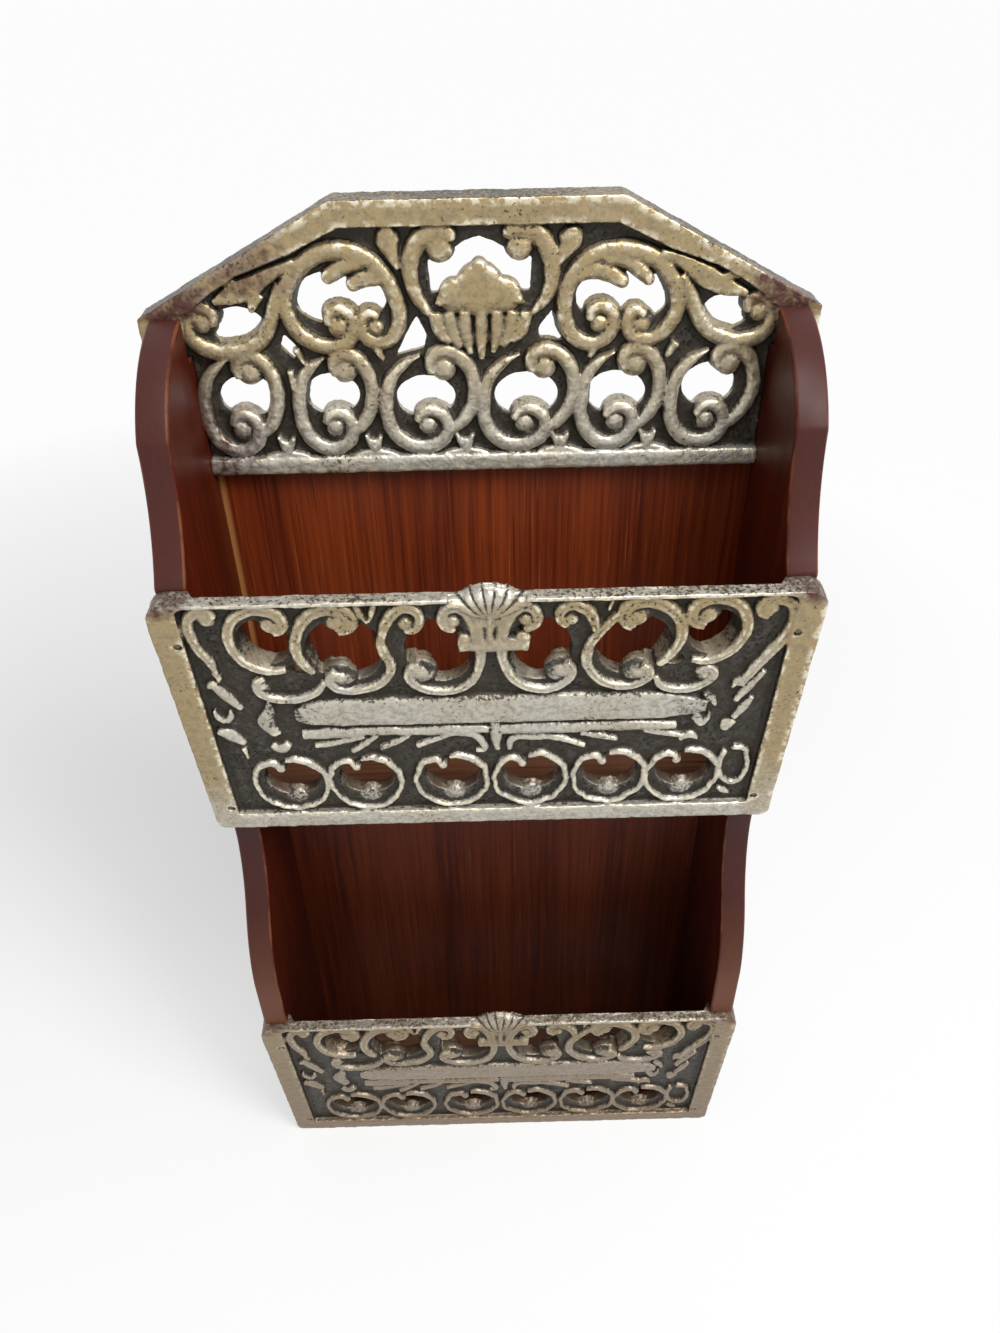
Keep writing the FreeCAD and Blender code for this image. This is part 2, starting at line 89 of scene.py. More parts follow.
# The black wash, with painted shade on walls and in holes and painted light on up-facing walls: depths that
# hold all of it, and its share by place
CREASE_DEPTH = 1.5
DENT_DEPTH = 0.35
SUNK_WASH = 0.75
WALL_WASH_AND_SHADE = 0.5
HOLE_WASH_AND_SHADE = 0.9
LIT_LEDGE_WASH = 0.12
BACK_WASH = 0.25
EDGE_WASH = 0.36
MOUND_WASH = 0.42
BROW_WASH = 0.5

# Where the castings turn golden, are stained by the wood, worn or dusty: (from, to) across or up
FRONT_GILT_Y = (70, 112)
BORDER_GILT_Y = (6, 45)
SHOULDER_GILT_X, SHOULDER_GILT_Y = (30, 60), (90, 112)
FRONT_STAIN_X, FRONT_STAIN_Y = (84, 112), (112, 122)
HOLE_DUST_Y = (48, 42)
PLAQUE_WORN_X = (58, 72)
CREST_GILT_Y = (8, 62)
EAVES_STAIN_X, EAVES_STAIN_Y = (74, 104), (50, 60)
LEFT_END_STAIN_X, LEFT_END_STAIN_Y = (-60, -98), (48, 30)
LEFT_SLOPE_STAIN_X, LEFT_SLOPE_STAIN_Y = (-45, -75), (60, 68)

# Strokes: points of the middle line as (x, height) or (x, height, lift), and half-widths,
# either at the start, middle and end or one for each point.
SCROLL_C = (1.6, 1.9, 2.0, 2.1, 2.2, 2.4, 2.5, 2.5, 2.5, 2.5, 2.6, 2.7, 2.7, 2.6, 2.5, 2.4, 2.4, 2.3,
            2.2, 2.1, 2.0, 1.8, 1.5)
SCROLL_END = (1.5, 2.0, 2.1, 2.2, 2.3, 2.5, 2.7, 2.7, 2.5, 2.3, 2.2, 1.9)
SCROLL_S = (1.3, 2.3, 2.9, 3.0, 2.9, 2.6, 2.1, 1.4, 0.6)
CREST_SCROLLS = [
    ([(-91.2, 55), (-91, 59.2), (-95, 61), (-98.8, 58.8), (-100, 54.2), (-98.2, 49.6), (-92.5, 46.2),
      (-84.6, 45.8), (-77, 48.8), (-72.2, 54), (-69.4, 61), (-66.4, 68)], SCROLL_END),
    ([(-51.6, 54.6), (-51.2, 58.4), (-46.8, 59.2), (-43.6, 55.6), (-44.4, 50), (-49, 47.2), (-55.4, 47.6),
      (-61.4, 51.2), (-65, 57), (-65.6, 63.6), (-62, 71), (-55, 76.4), (-47, 78.4), (-38.8, 76.7),
      (-32.4, 71.2), (-28.6, 63.4), (-27.6, 56.6), (-29.6, 51), (-34, 48), (-38.8, 49.4), (-40.8, 54),
      (-38, 57.8), (-34.6, 56.6)], SCROLL_C),
    ([(-9.2, 80.8), (-9.6, 82.8), (-14, 83.2), (-18.6, 81.6), (-21.8, 77.2), (-22.9, 70.6), (-21.5, 64),
      (-18.4, 59.2), (-16, 56.6)], SCROLL_S),
    ([(91.6, 56), (91.4, 59.4), (95.4, 60.8), (98.8, 58), (99.6, 53.4), (97.4, 48.8), (91.4, 46.2),
      (84.6, 46.8), (78, 50.2), (73.6, 56), (70.6, 62.6), (67, 68.4)], SCROLL_END),
    ([(37.4, 54.4), (38.6, 58), (43, 58.2), (45.4, 53.8), (43.6, 48.6), (38.4, 46.2), (32.4, 48.4),
      (29, 54), (28.6, 60.6), (30.4, 67.6), (35.4, 73.4), (43, 76.6), (51, 76.6), (58.4, 73.6),
      (64, 68), (66.8, 61), (65.8, 54.2), (62, 49.2), (56.4, 47.2), (51.6, 49.2), (50.2, 53.8),
      (53, 57), (56.2, 55.4)], SCROLL_C),
    ([(9.4, 81.4), (10, 83.4), (14.6, 83.9), (19.6, 82), (23.2, 76.8), (24.2, 70.4), (23, 64), (20, 59.4),
      (17, 56.8)], SCROLL_S),
]
CREST_LOBES = [
    ([(-34, 75), (-41, 74.4), (-46.6, 72.6), (-50, 70.4)], (1.4, 2.2, 2.5, 2.3)),
    ([(-29.6, 69.4), (-35, 69.8), (-39.6, 69), (-42.4, 67.6)], (2.0, 2.8, 2.6, 2.2)),
    ([(31.6, 68.6), (38, 70.6), (43.6, 69.4), (47.6, 67)], (2.2, 2.9, 2.7, 2.2)),
    ([(41.6, 74), (48.4, 73.4), (53.4, 70.6), (56.4, 67.6)], (1.6, 2.2, 2.3, 2.0)),
]
CREST_LOBE_TIPS = [(-50, 70.4, 2.3), (-42.2, 67.8, 2.3), (47.6, 67, 2.2), (56.4, 67.6, 2.0)]
CREST_KNOBS = [(-94.8, 56.2, 3.6), (-48.2, 53.6, 3.9), (-35.8, 53.4, 3.0), (-13.0, 78.2, 4.4),
               (95, 56, 3.4), (40.4, 53, 3.2), (55, 52.2, 3.0), (13.4, 78.6, 4.4)]
CREST_CURLS = [(-94.8, 55.6, 4.8), (-47.8, 53.4, 5.0), (-35.6, 53, 4.6), (-14, 79.2, 4.8),
               (95, 55.6, 4.8), (40.6, 52.8, 5.0), (55.4, 52.4, 4.8), (14, 79.6, 4.8)]
CREST_LEAVES = [
    ([(-61, 75.6), (-70, 71.2), (-78, 66.8), (-84, 65), (-89.5, 63)], (1.0, 2.2, 3.8, 2.8, 0.8)),
    ([(-80, 68.2), (-83.6, 69.2), (-86.4, 69)], (1.5, 1.2, 0.4)),
    ([(-74, 65.6), (-76.6, 61.8), (-77.4, 59.4)], (2.2, 1.8, 0.8)),
    ([(60, 76), (68, 72.6), (76, 67.8), (83, 64.4), (90, 62.4)], (1.0, 2.2, 3.6, 2.8, 0.9)),
    ([(81, 67.2), (84.5, 68.2), (86.5, 67.6)], (1.5, 1.3, 0.5)),
]
CREST_BUDS = [
    ([(-29.2, 85.4), (-29.5, 83.6), (-29.5, 80.8), (-28.6, 77.4), (-26.8, 72.4)],
     (1.6, 3.3, 3.8, 2.4, 0.7)),
    ([(30.2, 84.4), (30.4, 82.8), (30, 80.2), (28.6, 77.2), (26.6, 73.4)], (1.6, 3.3, 3.8, 2.4, 0.7)),
    ([(-64.2, 46.4), (-61.6, 41.2)], (1.4, 1.5, 0.6)),
    ([(-36, 46.2), (-34, 42)], (1.6, 1.7, 0.8)),
    ([(-67, 39), (-66.6, 32)], (1.2, 1.4, 1.0)),
    ([(39.6, 45.6), (37.6, 41.6)], (1.7, 1.8, 0.9)),
    ([(67.6, 46), (64.4, 41)], (1.6, 1.8, 0.8)),
]
CREST_RINGS = [(-86.0, 0.88), (-52.4, 0.88), (-18.6, 1.06), (16.4, 1.08), (49.0, 0.93), (81.8, 0.96)]
CREST_RING_SCROLLS = [
    ([(-2.6, 43.4), (-8.8, 39.6), (-13.6, 33.2), (-15, 25.4), (-14, 17.4), (-10.4, 11.8), (-4.8, 9.3),
      (1, 10.2), (5, 14), (5.2, 19), (2, 22.6), (-2.6, 22.4), (-5, 19.2)],
     (0.4, 1.5, 2.1, 2.3, 2.4, 2.5, 2.5, 2.5, 2.4, 2.2, 2.0, 1.8, 1.4)),
    ([(1.4, 36.8), (0.8, 41), (4, 44), (8.8, 43.2), (12.6, 39.6), (14.8, 33.8), (14.8, 27.4),
      (12.8, 22), (9.6, 18), (6.4, 15.4)], (1.6, 2.2, 2.4, 2.4, 2.4, 2.3, 2.3, 2.2, 2.0, 1.5)),
]
CREST_RING_KNOBS = [(-1.4, 17.6, 3.4), (5.0, 38.2, 4.3)]
CREST_RING_CURLS = [(-0.2, 16.2, 6.2), (5.0, 38.8, 4.8)]
CREST_RING_HOLES = [(-83.6, 29.2, 10.2, 7.5), (-53.5, 29.1, 9.6, 7.6), (-20.3, 27.5, 10.6, 7.8),
                    (15.7, 27.5, 11.4, 8.4), (47.9, 27.6, 10.6, 8.1), (80.8, 29.8, 9.5, 8.1)]
CREST_HOLES = [(-83.2, 54, 9.2, 6.6), (-47.2, 63, 16, 9.2), (84.2, 55.6, 8.6, 5.8), (48.4, 61.6, 16, 9.8)]
CREST_GAPS = [
    [(-69.8, 46.8), (-68, 51), (-63.4, 46), (-65.5, 42)],
    [(-21.8, 56.6), (-18.8, 49.6), (-19.8, 45.4), (-29.8, 42.6), (-26.2, 49.6)],
    [(24.5, 57.6), (19.8, 51), (20.2, 48.2), (29.6, 46.4), (27.2, 51.4)],
    [(-16.5, 64), (-17.2, 75), (-10.5, 76.8), (-5, 80), (0, 81.7), (5, 80), (10.5, 76.8), (17.6, 75),
     (17, 64)],
]
# Inner edge of the crest's border, down the slope
CREST_BORDER_FOOT = [(100.8, 58), (90, 66), (80, 71.6), (62, 78)]
SPROUT_XS = (-72, -40, -6.6, 28, 60)
SPROUT = [
    ([(0, 5), (0, 8.5), (-0.3, 10.5)], (2.2, 1.9, 1.6)),
    ([(-0.6, 9), (-1.8, 11.5), (-3.0, 14.4)], (1.5, 1.3, 0.7)),
    ([(0.6, 9), (1.6, 11.2), (2.8, 13.8)], (1.5, 1.3, 0.7)),
    ([(0, 9), (-0.2, 12.6)], (1.3, 1.1, 0.7)),
    ([(-8, 6.6), (-3, 7.4), (3, 7.4), (8, 6.6)], (0.6, 1.3, 0.6)),
]
URN_LID = [(-15.4, 60.4), (-14.2, 63.6), (-10, 66.2), (-6.2, 68.6), (-3.4, 72.4), (-1, 75)]
URN_BASKET = [(-17.6, 59.6), (-16.8, 52), (-13, 46.4), (-7, 41.6)]
URN_SWELLS = [(0, 65, 8.6), (-8.4, 63.2, 5.6), (8.4, 63.2, 5.6), (0, 69, 5.0), (0, 72.4, 2.6)]
URN_BRIM = ([(-14, 61.4), (-7, 62), (0, 61.4), (7, 62), (14, 61.4)], (1.3, 1.4, 1.3))
URN_FLUTE_XS = (-15.6, -10.6, -5.4, 0.2, 5.8, 10.9, 15.6)   # middles of the flutes under the lid
URN_FLUTE_TOP = 57.8
URN_FOOT = 41.6

FRONT_SCROLLS = [
    ([(-92.6, 115.4), (-94.4, 118.4), (-98, 118), (-100.7, 114.4), (-101.2, 108), (-99.8, 101),
      (-97.2, 95.2), (-96, 89.4)], (2.4, 2.6, 2.2, 2.0, 1.9, 1.8, 1.6, 0.8)),
    ([(-73.2, 108.4), (-69.8, 110.6), (-70.4, 116.2), (-75.4, 118.9), (-82.2, 117.6), (-87.2, 112.4),
      (-88.9, 105.4), (-87.5, 98.4), (-83.6, 92.9), (-78.4, 90.2), (-71.6, 90.6)],
     (1.6, 2.2, 2.4, 2.3, 2.1, 2.0, 1.9, 1.8, 1.6, 1.4, 1.0)),
    ([(-51.4, 108.6), (-46.8, 110.8), (-46.9, 116), (-51.4, 118.4), (-57.2, 117.6), (-62.4, 113.2),
      (-65.6, 106.4), (-66.5, 99.4), (-65.2, 93.8), (-62.2, 89)],
      (2.0, 2.6, 2.9, 2.9, 2.7, 2.4, 2.1, 2.0, 1.7, 1.1)),
    ([(-35.4, 108.6), (-37, 103.6), (-36.4, 98.2), (-34.6, 92.6), (-36, 86.4), (-40, 82), (-46.2, 79.7),
      (-51.8, 79.4), (-56.2, 81.8), (-57, 86), (-54.4, 89)],
     (1.6, 1.6, 1.8, 1.9, 1.7, 1.6, 1.5, 1.5, 1.6, 1.5, 1.2)),
    ([(-37, 104.6), (-34.4, 112), (-31, 116.8), (-27, 118.4), (-23.6, 116.2), (-23.2, 111.8),
      (-25.4, 108.4), (-28.4, 108.8)], (1.5, 2.2, 2.4, 2.2, 1.8, 1.5, 1.3, 1.0)),
    ([(-11.4, 107.6), (-14.8, 109.8), (-15.2, 115), (-11.6, 118.2), (-7.6, 116.6), (-5.2, 112),
      (-3.8, 105.4), (-2.8, 98.2), (-3.2, 91), (-5.6, 84), (-10, 79.4), (-17, 77.8), (-24.2, 79.6),
      (-28.2, 84), (-28, 89), (-24.6, 91.4)],
      (1.2, 1.6, 1.9, 2.4, 2.7, 2.7, 2.4, 2.0, 1.7, 1.5, 1.5, 1.5, 1.6, 1.8, 1.7, 1.3)),
    ([(-80, 86.6), (-83.2, 84.4), (-83.4, 80.6), (-81, 77.4), (-77, 75.6), (-70, 75.4), (-64.4, 77.6),
      (-60.6, 81.2), (-59, 84.6)], (1.1, 1.3, 1.4, 1.4, 1.4, 1.4, 1.4, 1.3, 0.9)),
    ([(95.6, 111.4), (92.4, 113.6), (93.6, 117.6), (98.6, 118.4), (103, 115), (104.2, 109), (103, 102.6),
      (98.6, 93.4), (94, 84.6), (90.8, 77.4)], (1.8, 2.0, 2.4, 2.4, 2.2, 2.0, 2.2, 2.3, 2.0, 1.2)),
    ([(74.2, 107.4), (70, 109.4), (69.2, 114.6), (72.6, 118.4), (78, 119.4), (83.2, 117.4), (87.2, 112.6),
      (88.9, 105.6), (87.2, 98.6), (83.2, 93.2), (77, 90.2), (71.4, 91)],
     (1.7, 2.2, 2.4, 2.4, 2.3, 2.2, 2.1, 2.0, 1.9, 1.7, 1.4, 1.0)),
    ([(49.6, 107.2), (46.6, 110), (46.8, 116), (51.8, 119), (58.4, 117.6), (63.2, 113.4), (66.3, 107.2),
      (66.4, 100.4), (63.8, 94), (59.8, 89)], (1.9, 2.4, 2.8, 2.9, 2.7, 2.4, 2.2, 2.0, 1.7, 1.1)),
    ([(45, 114.6), (40.6, 108.4), (36.4, 102.2), (34.4, 95.6), (35.2, 88.6), (38.8, 82.8), (45, 79),
      (51.4, 78.8), (56, 81.4), (57.4, 85.6), (54.4, 88.8)],
      (1.4, 1.7, 1.9, 2.0, 1.9, 1.7, 1.6, 1.6, 1.6, 1.5, 1.2)),
    ([(37, 106.6), (35.4, 112.4), (32.4, 116.6), (28.2, 118.2), (24.8, 115.8), (24.6, 111.4), (27, 108.6)],
     (1.4, 2.2, 2.4, 2.2, 1.8, 1.5, 1.1)),
    ([(12.4, 107.6), (16.2, 110), (16.4, 115.2), (13.2, 118.2), (9.2, 116.6), (6.4, 111.6),
      (4.8, 105.4), (4.4, 98), (5.6, 90.4), (9, 83), (14.8, 78.6), (22, 78), (27.4, 81.6), (29.6, 87),
      (27.4, 91.2)],
     (1.2, 1.6, 1.9, 2.4, 2.7, 2.6, 2.3, 1.9, 1.7, 1.6, 1.5, 1.5, 1.6, 1.7, 1.3)),
    ([(59.6, 83), (61, 79.4), (64.6, 76.8), (70, 75.8), (75.4, 77.4), (79.4, 80.6), (80.4, 84.6),
      (77.2, 86.6), (74, 84.4)], (0.9, 1.3, 1.4, 1.4, 1.5, 1.5, 1.5, 1.4, 1.1)),
]
FRONT_KNOBS = [
    (-94.4, 115, 3.0), (-73.8, 111.6, 3.0), (-51.2, 112.6, 3.5), (-53, 86, 2.6), (-28.2, 111.4, 2.5),
    (-11.8, 111.8, 2.5), (-24.8, 87.6, 3.2), (-81.4, 82.6, 2.0), (-8.3, 103.8, 2.3), (95.6, 114.6, 2.8),
    (74.6, 111.6, 3.2), (50.6, 111.6, 3.4), (53.4, 85, 2.8), (28.4, 111.6, 2.4), (12.8, 112, 2.5),
    (25.8, 87, 3.1), (77, 83.4, 1.8), (12, 103.8, 2.6),
]
FRONT_CURLS = [
    (-94.6, 114.6, 4.0), (-73.8, 112.2, 4.6), (-51.4, 113, 5.2), (-53.2, 84.8, 6.2), (-27.6, 112.4, 3.4),
    (-11.6, 112.6, 3.2), (-24.8, 86.2, 6.4), (-81, 81.6, 3.4), (96.4, 114.4, 4.0), (74.8, 112.6, 4.8),
    (51, 112.8, 5.2), (53, 84.4, 6.2), (28.2, 112.6, 3.4), (12.8, 112.6, 3.2), (25.8, 85.8, 6.4),
    (77, 82.4, 3.6),
]
FRONT_LEAVES = [
    ([(-98.8, 83.4), (-95, 77.4), (-91, 71)], (1.7, 2.2, 1.7)),
    ([(-97.4, 90), (-96, 87.4), (-96.4, 85)], (0.7, 0.9, 0.6)),
    ([(-101, 82.6), (-98.6, 84), (-96.4, 81.6)], (0.8, 1.2, 0.8)),
    ([(-101.6, 70), (-101, 66.4), (-98.4, 63.6)], (0.6, 1.0, 1.6)),
    ([(-95.2, 70), (-95.6, 66.6), (-97.8, 63.6)], (0.6, 0.9, 1.4)),
    ([(-82.4, 80), (-80.8, 78), (-79.2, 76.2)], (1.0, 1.4, 1.0)),
    ([(-102.6, 58.4), (-98, 56.4), (-93.6, 51.4)], (1.4, 3.0, 1.5)),
    ([(-94.6, 48.6), (-93.8, 42.4)], (1.3, 1.2, 0.5)),
    ([(-80.6, 75), (-81.4, 69.4), (-83.2, 63.4), (-81.2, 56)], (1.0, 1.8, 3.4, 2.4)),
    ([(-83.6, 49.8), (-80.4, 47.8), (-77, 50.6)], (1.6, 2.6, 1.6)),
    ([(-44.4, 122), (-42.6, 116.4), (-40.8, 112)], (1.0, 1.0, 0.6)),
    ([(-37.2, 122), (-38.6, 117), (-40, 112.6)], (1.0, 1.0, 0.6)),
    ([(98.6, 84.4), (94, 76), (90.6, 69)], (1.2, 1.8, 1.3)),
    ([(96.6, 70.6), (94, 65), (91, 59.6)], (1.2, 1.8, 1.4)),
    ([(91.6, 58), (89.4, 55.6), (88.6, 53)], (1.6, 2.6, 1.6)),
    ([(76.8, 63.8), (77.8, 60), (79.4, 55.4)], (1.2, 1.9, 1.0)),
    ([(81.8, 62.6), (81.4, 59), (80.4, 56)], (0.6, 0.8, 0.6)),
    ([(91.4, 81), (89.4, 78.6), (88, 76)], (0.8, 1.5, 0.8)),
    ([(83, 67), (81, 70.4), (78.6, 73)], (0.9, 1.6, 1.0)),
    ([(91, 17.8), (93.4, 15), (96, 13.6)], (1.0, 1.4, 0.8)),
    ([(72, 47.6), (76, 50.2), (79, 48.2)], (1.2, 1.6, 0.8)),
    ([(42.4, 121), (40.6, 115)], (1.0, 0.9, 0.5)),
]
FRONT_STEM = [
    ([(-71, 55.4), (-60, 55.8), (-49, 55.6)], (2.6, 2.9, 2.2)),
    ([(-53, 56.8), (-40, 56.6), (-28, 56)], (2.0, 2.4, 1.8)),
    ([(-33, 55.8), (-18, 56.4), (-1, 56)], (2.0, 2.6, 2.0)),
    ([(4, 56), (20, 56), (37, 56)], (2.7, 3.0, 2.4)),
    ([(32, 56.8), (50, 56.4), (70, 56)], (2.2, 2.7, 2.0)),
    ([(-67, 49.4), (-58, 51), (-48, 54)], (1.3, 1.4, 1.2)),
    ([(-53.4, 45.4), (-48, 50), (-43, 54.4)], (1.3, 1.4, 1.2)),
    ([(-42.6, 46.8), (-36, 50.4), (-31, 54)], (1.3, 1.4, 1.2)),
    ([(-28.6, 47.8), (-20, 52), (-13, 54.6), (-7, 53.6), (-3.2, 48.8), (-2.6, 45), (-6, 44.6)],
      (1.4, 1.5, 1.3)),
    ([(1.6, 60), (2, 53), (2.4, 44.6)], (2.0, 2.2, 1.4)),
    ([(7, 44.6), (7.8, 50.6), (16, 51.4), (26, 50.2), (35.8, 45.8)], (1.2, 1.5, 1.2)),
    ([(34, 53), (41, 51.2), (48, 49)], (1.4, 1.5, 0.9)),
    ([(58, 54), (66, 52), (74, 49.6)], (1.4, 1.6, 0.9)),
]
FRONT_RING_XS = (-79.6, -50.0, -16.0, 15.0, 46.4, 75.6)
FRONT_RING_SCROLLS = [
    ([(-3.2, 34.8), (-5.6, 38.8), (-10, 37.6), (-13, 32.6), (-14, 26.2), (-12.8, 19.4), (-9, 13.8),
      (-3.4, 10.6), (3, 10.4), (9, 14), (12.8, 19.6), (14, 26.2), (12.8, 33), (9, 38.2), (3.6, 41),
      (-0.6, 40.4)],
     (1.2, 1.7, 1.5, 1.4, 1.2, 1.1, 1.0, 1.0, 1.1, 1.2, 1.2, 1.3, 1.5, 1.7, 1.6, 0.8)),
]
FRONT_RING_KNOBS = [(-3.2, 35.2, 2.0)]
FRONT_RING_MOUNDS = [(0.6, 16.4, 3.5)]
FRONT_RING_HOLE = (0.4, 28.4, 11.2, 11.0)
FRONT_BLIND_RING = [
    ([(91.4, 41), (89.6, 33), (91.6, 25), (96, 20.8), (100.2, 25.6), (100.4, 34), (97.6, 41.4), (93.4, 43)],
     (1.3, 1.3, 1.4)),
]
FRONT_HOLES = [
    (-77.6, 102.6, 9.2, 10.6), (-50.2, 97.6, 13.6, 15.0), (-17.2, 96.6, 12.4, 15.2),
    (-66.3, 89.2, 4.6, 3.0), (78.4, 102.8, 9, 10.4), (50.8, 97.2, 13.4, 14.6),
    (17.6, 96.4, 11.6, 15.2), (65.6, 90, 3.6, 2.6),
]
PLAQUE = ([(-72, 67), (-67, 67.4), (-58, 67.4), (0, 67.4), (62, 67.4), (72, 67), (80, 67)],
          (2.6, 5.6, 6.8, 7.0, 6.8, 5.0, 2.8))
PLAQUE_SPAN = (60.4, 74.4)
SHELL_BAR = ([(-10.4, 100), (-5, 100.6), (1, 100.2), (8, 100.6), (14, 100)], (2.6, 3.3, 2.8))
SHELL_GAP = 13.0         # the top rim stops this far each side of the shell
SHELL_BOSS = (0.6, 113.6, 12.0)
SHELL_ROOT = (0.6, 112.6)
SHELL_R = 12.6
SHELL_FLUTES = 7
SHELL_FAN = math.radians(19)
SHELL_SWELL = [(0, -0.8), (0.45, 0.8), (0.78, 0.2), (0.93, -1.4), (1.0, -4.5)]   # lift along a flute
SHELL_WIDTHS = (0.5, 1.1, 1.7, 2.0, 1.9)
SHELL_NECK = ([(0.6, 114), (0.6, 108), (0.6, 101)], (1.0, 1.3, 1.8))
SHELL_BUDS = [(-4.2, 105.4, 1.6), (5.4, 105.4, 1.6)]

# Sections of a band: (across, rise) from its foot to its crown, both as shares.
ROUND_SECTION = [(-1.5, 0), (-1.34, 0.25), (-1.2, 0.5), (-1.06, 0.72), (-0.93, 0.85), (-0.75, 0.925),
                 (-0.5, 0.968), (-0.25, 0.992), (0, 1.0)]
GROOVED_SECTION = [(-1.9, 0), (-1.5, 0.35), (-1.2, 0.6), (-1.04, 0.78), (-0.9, 0.9), (-0.7, 0.97),
                   (-0.5, 1.0), (-0.25, 0.97), (0, 0.92)]
PETAL_SECTION = [(-1.1, 0), (-1.06, 0.5), (-1.0, 0.78), (-0.85, 0.9), (-0.6, 0.97), (-0.3, 0.995), (0, 1.0)]
FLAT_SECTION = [(-1.2, 0), (-1.12, 0.5), (-1.06, 0.75), (-1.0, 0.9), (-0.9, 0.97), (-0.5, 1.0), (0, 1.0)]

# Eased edges of the sides, and what counts as a flat of a board
EASED_EDGE = 1.2 * MM
FLAT_FACE = 1e-4

# The wood's marks, as places in metres
GRAIN_STRETCH = 0.018            # how much the grain is drawn out along the board
LEFT_CORNER_LINE = (-0.0980, -0.0996)   # across the back board's left edge
BACK_FACE_Y = 0.0345             # just behind the back board's face
UPPER_POCKET_Z = 0.25            # the corner line shows above, and the painted shade of the lower pocket begins below
# where the lower pocket's painted shade is deepest
DEEPEST_SHADE_Z = 0.12
ORANGE_EDGE_Z = (0.19, 0.14)            # below this the end grain turns orange-brown

# Pins: radius and depth from the middle of the head's face to the point
BRAD_PROFILE = [(0, 0), (0.8, -0.04), (1.2, -0.2), (1.4, -0.5), (1.4, -0.8), (0.75, -0.9),
                (0.75, -20.4), (0, -22.0)]
NAIL_PROFILE = [(0, -0.12), (0.7, -0.1), (1.1, 0), (1.3, -0.2), (1.3, -0.9), (0.9, -1.5), (0.9, -30.2),
                (0, -32.0)]
BACK_NAIL_PROFILE = NAIL_PROFILE[:-2] + [(0.9, -24.2), (0, -26.0)]
SCREW_PROFILE = [(0, 0), (2.4, 0), (2.9, -0.12), (3.0, -0.4), (1.5, -2.0), (1.5, -20.0), (0, -24.0)]
SCREW_SLOT = (0.9, 1.0)


def linear(code, alpha=1.0):
    """An sRGB hex colour as linear values."""
    parts = [int(code[i:i + 2], 16) / 255 for i in (1, 3, 5)]
    return [c / 12.92 if c <= 0.04045 else ((c + 0.055) / 1.055) ** 2.4 for c in parts] + [alpha]


def wire(tree, made, inputs):
    """Set or link a node's inputs. A node given as a value is linked by its first live output."""
    for key, value in inputs.items():
        if isinstance(value, bpy.types.Node):
            value = next(socket for socket in value.outputs if socket.enabled)
        if isinstance(value, bpy.types.NodeSocket):
            tree.links.new(value, made.inputs[key])
        else:
            made.inputs[key].default_value = value


def node(tree, kind, inputs=None, **settings):
    """Add a node with its settings, and set or link its inputs."""
    made = tree.nodes.new(kind)
    for name, value in settings.items():
        setattr(made, name, value)
    wire(tree, made, inputs or {})
    return made


def new_tree(name, inputs):
    """An empty geometry tree with named inputs, and the sockets that give them."""
    tree = bpy.data.node_groups.new(name, "GeometryNodeTree")
    for label, kind in inputs:
        tree.interface.new_socket(label, in_out="INPUT", socket_type="NodeSocket" + kind)
    tree.interface.new_socket("Geometry", in_out="OUTPUT", socket_type="NodeSocketGeometry")
    return tree, node(tree, "NodeGroupInput").outputs


def end_tree(tree, geometry, metal):
    whole = node(tree, "GeometryNodeRealizeInstances", {"Geometry": geometry})
    done = node(tree, "GeometryNodeSetMaterial", {"Geometry": whole, "Material": metal})
    node(tree, "NodeGroupOutput", {"Geometry": done})
    return tree


def scroll_tree():
    """Bands along drawn strokes: a section swept at each stroke's half-width, from foot to crown."""
    tree, given = new_tree("scroll_bands", [
        ("Drawing", "Object"), ("Section", "Object"), ("Foot", "Float"), ("Crown", "Float"),
        ("Step", "Float"), ("Wobble", "Float"), ("Wobble size", "Float"), ("Metal", "Material")])
    strokes = node(tree, "GeometryNodeObjectInfo", {"Object": given["Drawing"]}).outputs["Geometry"]
    even = node(tree, "GeometryNodeResampleCurve",
                {"Curve": strokes, "Length": given["Step"]}, mode="LENGTH")
    place = node(tree, "GeometryNodeInputPosition")
    fine = node(tree, "ShaderNodeMath", {0: 1.0, 1: given["Wobble size"]}, operation="DIVIDE")
    shake = node(tree, "ShaderNodeTexNoise",
                 {"Vector": place, "Scale": fine, "Detail": 1.0}).outputs["Color"]
    centred = node(tree, "ShaderNodeVectorMath", {0: shake, 1: (0.5, 0.5, 0.5)}, operation="SUBTRACT")
    level = node(tree, "ShaderNodeVectorMath", {0: centred, 1: (2, 2, 0)}, operation="MULTIPLY")
    push = node(tree, "ShaderNodeVectorMath", {0: level, "Scale": given["Wobble"]}, operation="SCALE")
    hand = node(tree, "GeometryNodeSetPosition", {"Geometry": even, "Offset": push})
    upright = node(tree, "GeometryNodeSetCurveNormal", {"Curve": hand}, mode="Z_UP")

    section = node(tree, "GeometryNodeObjectInfo", {"Object": given["Section"]}).outputs["Geometry"]
    drawn_at = node(tree, "ShaderNodeSeparateXYZ", {0: place}).outputs
    rise = node(tree, "GeometryNodeStoreNamedAttribute",
                {"Geometry": section, "Name": "rise", "Value": drawn_at["Y"]})
    across = node(tree, "ShaderNodeCombineXYZ", {"X": drawn_at["X"]})
    ribbon = node(tree, "GeometryNodeSetPosition", {"Geometry": rise, "Position": across})
    half_width = node(tree, "GeometryNodeInputRadius")
    swept = node(tree, "GeometryNodeCurveToMesh",
                 {"Curve": upright, "Profile Curve": ribbon, "Scale": half_width, "Fill Caps": True})
    risen = node(tree, "GeometryNodeInputNamedAttribute", {"Name": "rise"}).outputs["Attribute"]
    height = node(tree, "ShaderNodeMix", {0: risen, 2: given["Foot"], 3: given["Crown"]})
    lift = node(tree, "ShaderNodeCombineXYZ", {"Z": height})
    raised = node(tree, "GeometryNodeSetPosition", {"Geometry": swept, "Offset": lift})
    return end_tree(tree, raised, given["Metal"])


